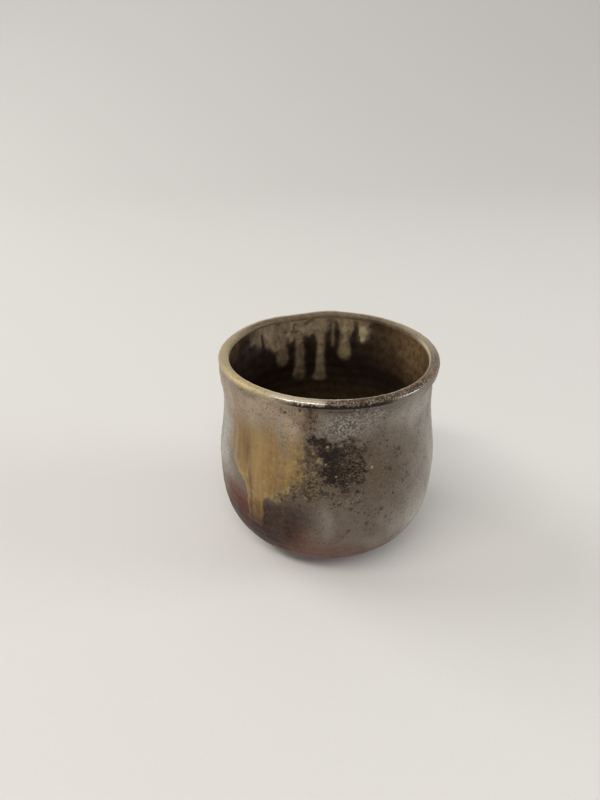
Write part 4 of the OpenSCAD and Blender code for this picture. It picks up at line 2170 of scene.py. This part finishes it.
@dataclass
class InnerAshRuns(AshPatch):
    """The tan ash that ran down the inside of the far wall, over the lining."""

    piece_name: str = "inner_ash_fringe"
    node: str = "inner_ash_runs"
    slot: str = "inner_ash"
    turn_from: float = 144.0
    turn_to: float = 243.0
    low: float = 46.0
    high: float = 82.6
    step: float = 0.3
    trim: float = 1.6
    face: Face = Face.INSIDE
    depth: float = 0.42
    merge: float = 0.9
    band_low: float = 75.0
    band_most: float = 1.4
    finish: Finish = InnerAshFinish()

    def build(self) -> Object:
        """The runs' mesh in its finish.

        Returns:
            The finished piece.
        """
        noise, per_degree = self.thrown.noise, self.per_degree
        turn, height, points = self.grid()
        turned = turn + 0.7 * noise.layered(points, 6)
        moved = height + 0.7 * noise.layered(points + 31, 6)
        notch = sum(deep * bell(turned, middle, half) for middle, half, deep in INNER_NOTCHES)
        band = moved - self.band_low - notch - 3.0 * noise.layered(points, 7)
        runs = [run.depth_in(turned, moved, per_degree) for run in INNER_RUNS]
        inside = merged(runs + [np.minimum(band, self.band_most)], self.merge)
        body = 1.0 - np.exp(-np.maximum(inside, 0.0) / 1.2)
        lift = self.depth * body * (1.0 + 0.3 * noise.layered(points, 3, 2))
        closing = smooth(243, 231, turn) * smooth(144, 151, turn)
        lift = np.maximum(closing * lift * smooth(84, 74, height), self.film)
        ends = smooth(241, 226, turn) * smooth(143, 156, turn)
        patches = noise.layered(points, 4.2, 2)
        upper = smooth(66, 76, height)
        mottle = smooth(-0.75, 0.15, patches + 1.2 * ends - 0.55 * upper)
        spots = smooth(0.1, 0.6, noise.layered(points + 13, 3.2, 2)) * smooth(64, 72, height)
        spots = spots * smooth(222, 208, turn)
        drop = np.zeros(np.shape(turn))
        for middle, level, half, tall in PALE_DROPS:
            aside = per_degree * turn_between(turned, middle) / half
            drop = np.maximum(drop, smooth(1.2, 0.5, np.hypot(aside, (moved - level) / tall)))
        cover = smooth(-0.9, 1.1, inside) * mottle * np.minimum(ends, 0.95)
        shade = 0.3 * bell(inside, 0, 0.7) + 0.28 * smooth(64, 52, height) + 0.7 * spots
        golden = 0.16 * bell(turned, 166, 4.5) + 0.18 * bell(turned, 184, 5)
        values: Values = {
            Coat.COVER: np.maximum(cover, 0.9 * drop),
            Coat.SHADE: np.clip(shade, 0.0, 1.0),
            Coat.OCHRE: np.maximum(0.62 * drop, golden),
            Coat.DUST: self.thrown.dust(turn, height),
        }
        return self.settle(self.lay(turn, height, inside, lift, values))


@dataclass(frozen=True)
class Softbox:
    """A soft lamp: where it stands, its size, its power and its tint."""

    name: str
    place: tuple[float, float, float]
    size: tuple[float, float]
    power: float
    tint: str = "#ffffff"


@dataclass
class Studio:
    """The pale sweep that the cup stands on, the soft lamps and the camera."""

    half_width: float = 4.0
    floor_front: float = -2.0
    floor_back: float = 0.8
    bend: float = 1.4
    wall_top: float = 3.4
    bend_steps: int = 48
    foot_hole: float = 0.0213
    paper: str = "#e2e0dc"
    paper_grain: str = "#dddbd7"
    paper_rough: float = 0.9
    paper_gloss: float = 0.2
    fibre_scale: float = 900.0
    world_tint: str = "#f3f2f0"
    world_level: float = 0.36
    world_seen: float = 0.78
    target: tuple[float, float, float] = (0.0, 0.0, 0.045)
    lamps: tuple[Softbox, ...] = (
        Softbox("front_lamp", (-0.50, -1.05, 1.80), (2.2, 0.34), 24.5, "#fffaf4"),
        Softbox("left_softbox", (-1.50, 0.50, 1.20), (1.2, 1.2), 14.5),
        Softbox("right_softbox", (1.70, -0.10, 0.60), (0.8, 0.7), 11.0, "#f4f7ff"),
    )
    lens_mm: float = 27.0
    film_mm: float = 36.0
    near_clip: float = 0.005
    camera_mm: tuple[float, float, float] = (-10.9, -219.0, 184.5)
    pitch: float = 29.29
    yaw: float = -0.125
    roll: float = -0.23

    def build(self) -> None:
        """Sets the sweep, the light and the camera."""
        self._sweep()
        self._light()
        self._camera()

    def _sweep(self) -> None:
        """A floor that bends up into a backdrop, in pale matt paper."""
        turn = np.linspace(0.0, math.pi / 2.0, self.bend_steps)
        depth = np.concatenate([[self.floor_front], self.floor_back + self.bend * np.sin(turn)])
        rise = np.concatenate([[0.0], self.bend * (1.0 - np.cos(turn))])
        depth, rise = np.append(depth, depth[-1]), np.append(rise, self.wall_top)
        points = [(x, y, z) for y, z in zip(depth, rise) for x in (-self.half_width, self.half_width)]
        faces = [[2 * i, 2 * i + 1, 2 * i + 3, 2 * i + 2] for i in range(len(depth) - 1)]
        mesh = bpy.data.meshes.new("paper_sweep")
        mesh.from_pydata(points, [], faces)
        mesh.shade_smooth()
        sweep = placed("paper_sweep", mesh)
        material, graph, shader = Finish("pale_paper", specular=self.paper_gloss).start()
        fibre = graph.noise(graph.place(), self.fibre_scale, 4.0)
        tone = graph.mix(fibre, self.paper, self.paper_grain)
        graph.put(shader.inputs["Base Color"], tone)
        shader.inputs["Roughness"].default_value = self.paper_rough
        below = graph.node("NewGeometry").outputs["Backfacing"]
        away = graph.node("VectorMath", {0: graph.place()}, operation="LENGTH").outputs["Value"]
        beyond = graph.math("GREATER_THAN", away, self.foot_hole)
        solid = graph.math("MULTIPLY", beyond, graph.math("SUBTRACT", 1.0, below))
        graph.put(shader.inputs["Alpha"], solid)
        mesh.materials.append(material)

    def _light(self) -> None:
        """Soft lamps about the cup and an even pale world."""
        for box in self.lamps:
            lamp = bpy.data.lights.new(box.name, "AREA")
            lamp.shape = "RECTANGLE"
            lamp.size, lamp.size_y = box.size
            lamp.energy = box.power
            lamp.color = linear(box.tint)[:3]
            stand = placed(box.name, lamp)
            stand.location = box.place
            aim = Vector(self.target) - Vector(box.place)
            stand.rotation_euler = aim.to_track_quat("-Z", "Y").to_euler()
        world = bpy.data.worlds.new("studio")
        world.use_nodes = True
        world.node_tree.nodes.clear()
        graph = Graph(world.node_tree)
        shade = graph.node("Background")
        shade.inputs["Color"].default_value = linear(self.world_tint)
        ray = graph.node("LightPath").outputs
        seen = graph.math("ADD", ray["Is Camera Ray"], ray["Is Glossy Ray"])
        seen = graph.math("ADD", seen, ray["Is Transmission Ray"], clamp=True)
        level = graph.spread(seen, self.world_level, self.world_seen)
        graph.put(shade.inputs["Strength"], level)
        output = graph.node("OutputWorld")
        graph.put(output.inputs["Surface"], shade.outputs["Background"])
        bpy.context.scene.world = world

    def _camera(self) -> None:
        """A camera with the photograph's lens, place and tilt."""
        data = bpy.data.cameras.new("camera")
        data.lens, data.sensor_width, data.sensor_fit = self.lens_mm, self.film_mm, "AUTO"
        data.clip_start = self.near_clip
        camera = placed("camera", data)
        pitch, yaw, roll = (math.radians(a) for a in (self.pitch, self.yaw, self.roll))
        level = math.cos(pitch)
        ahead = Vector((math.sin(yaw) * level, math.cos(yaw) * level, -math.sin(pitch)))
        right = Vector((math.cos(yaw), -math.sin(yaw), 0.0))
        up = right.cross(ahead)
        across = math.cos(roll) * right + math.sin(roll) * up
        upward = math.cos(roll) * up - math.sin(roll) * right
        turn = Matrix((across, upward, -ahead)).transposed().to_4x4()
        camera.matrix_world = Matrix.Translation(MM * Vector(self.camera_mm)) @ turn
        bpy.context.scene.camera = camera


def main() -> None:
    """Builds each layer of the cup in order, then the studio."""
    logging.basicConfig(level=logging.INFO, format="%(name)s: %(message)s")
    bpy.context.scene.view_settings.view_transform = "Standard"
    form = CupForm(height=round(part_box("stoneware_body")[1].z / MM, 1))
    thrown = Thrown(form, KilnNoise(SEED))
    effects = KilnEffects(ClayTones())
    for kind in (StonewareBody, LinerGlaze, LipGlaze, AshCurtain, AshCrust, InnerAshRuns):
        piece = kind(thrown, effects).build()
        LOG.info("%s: %d faces", piece.name, len(piece.data.polygons))
    Studio().build()


if __name__ == "__main__":
    main()
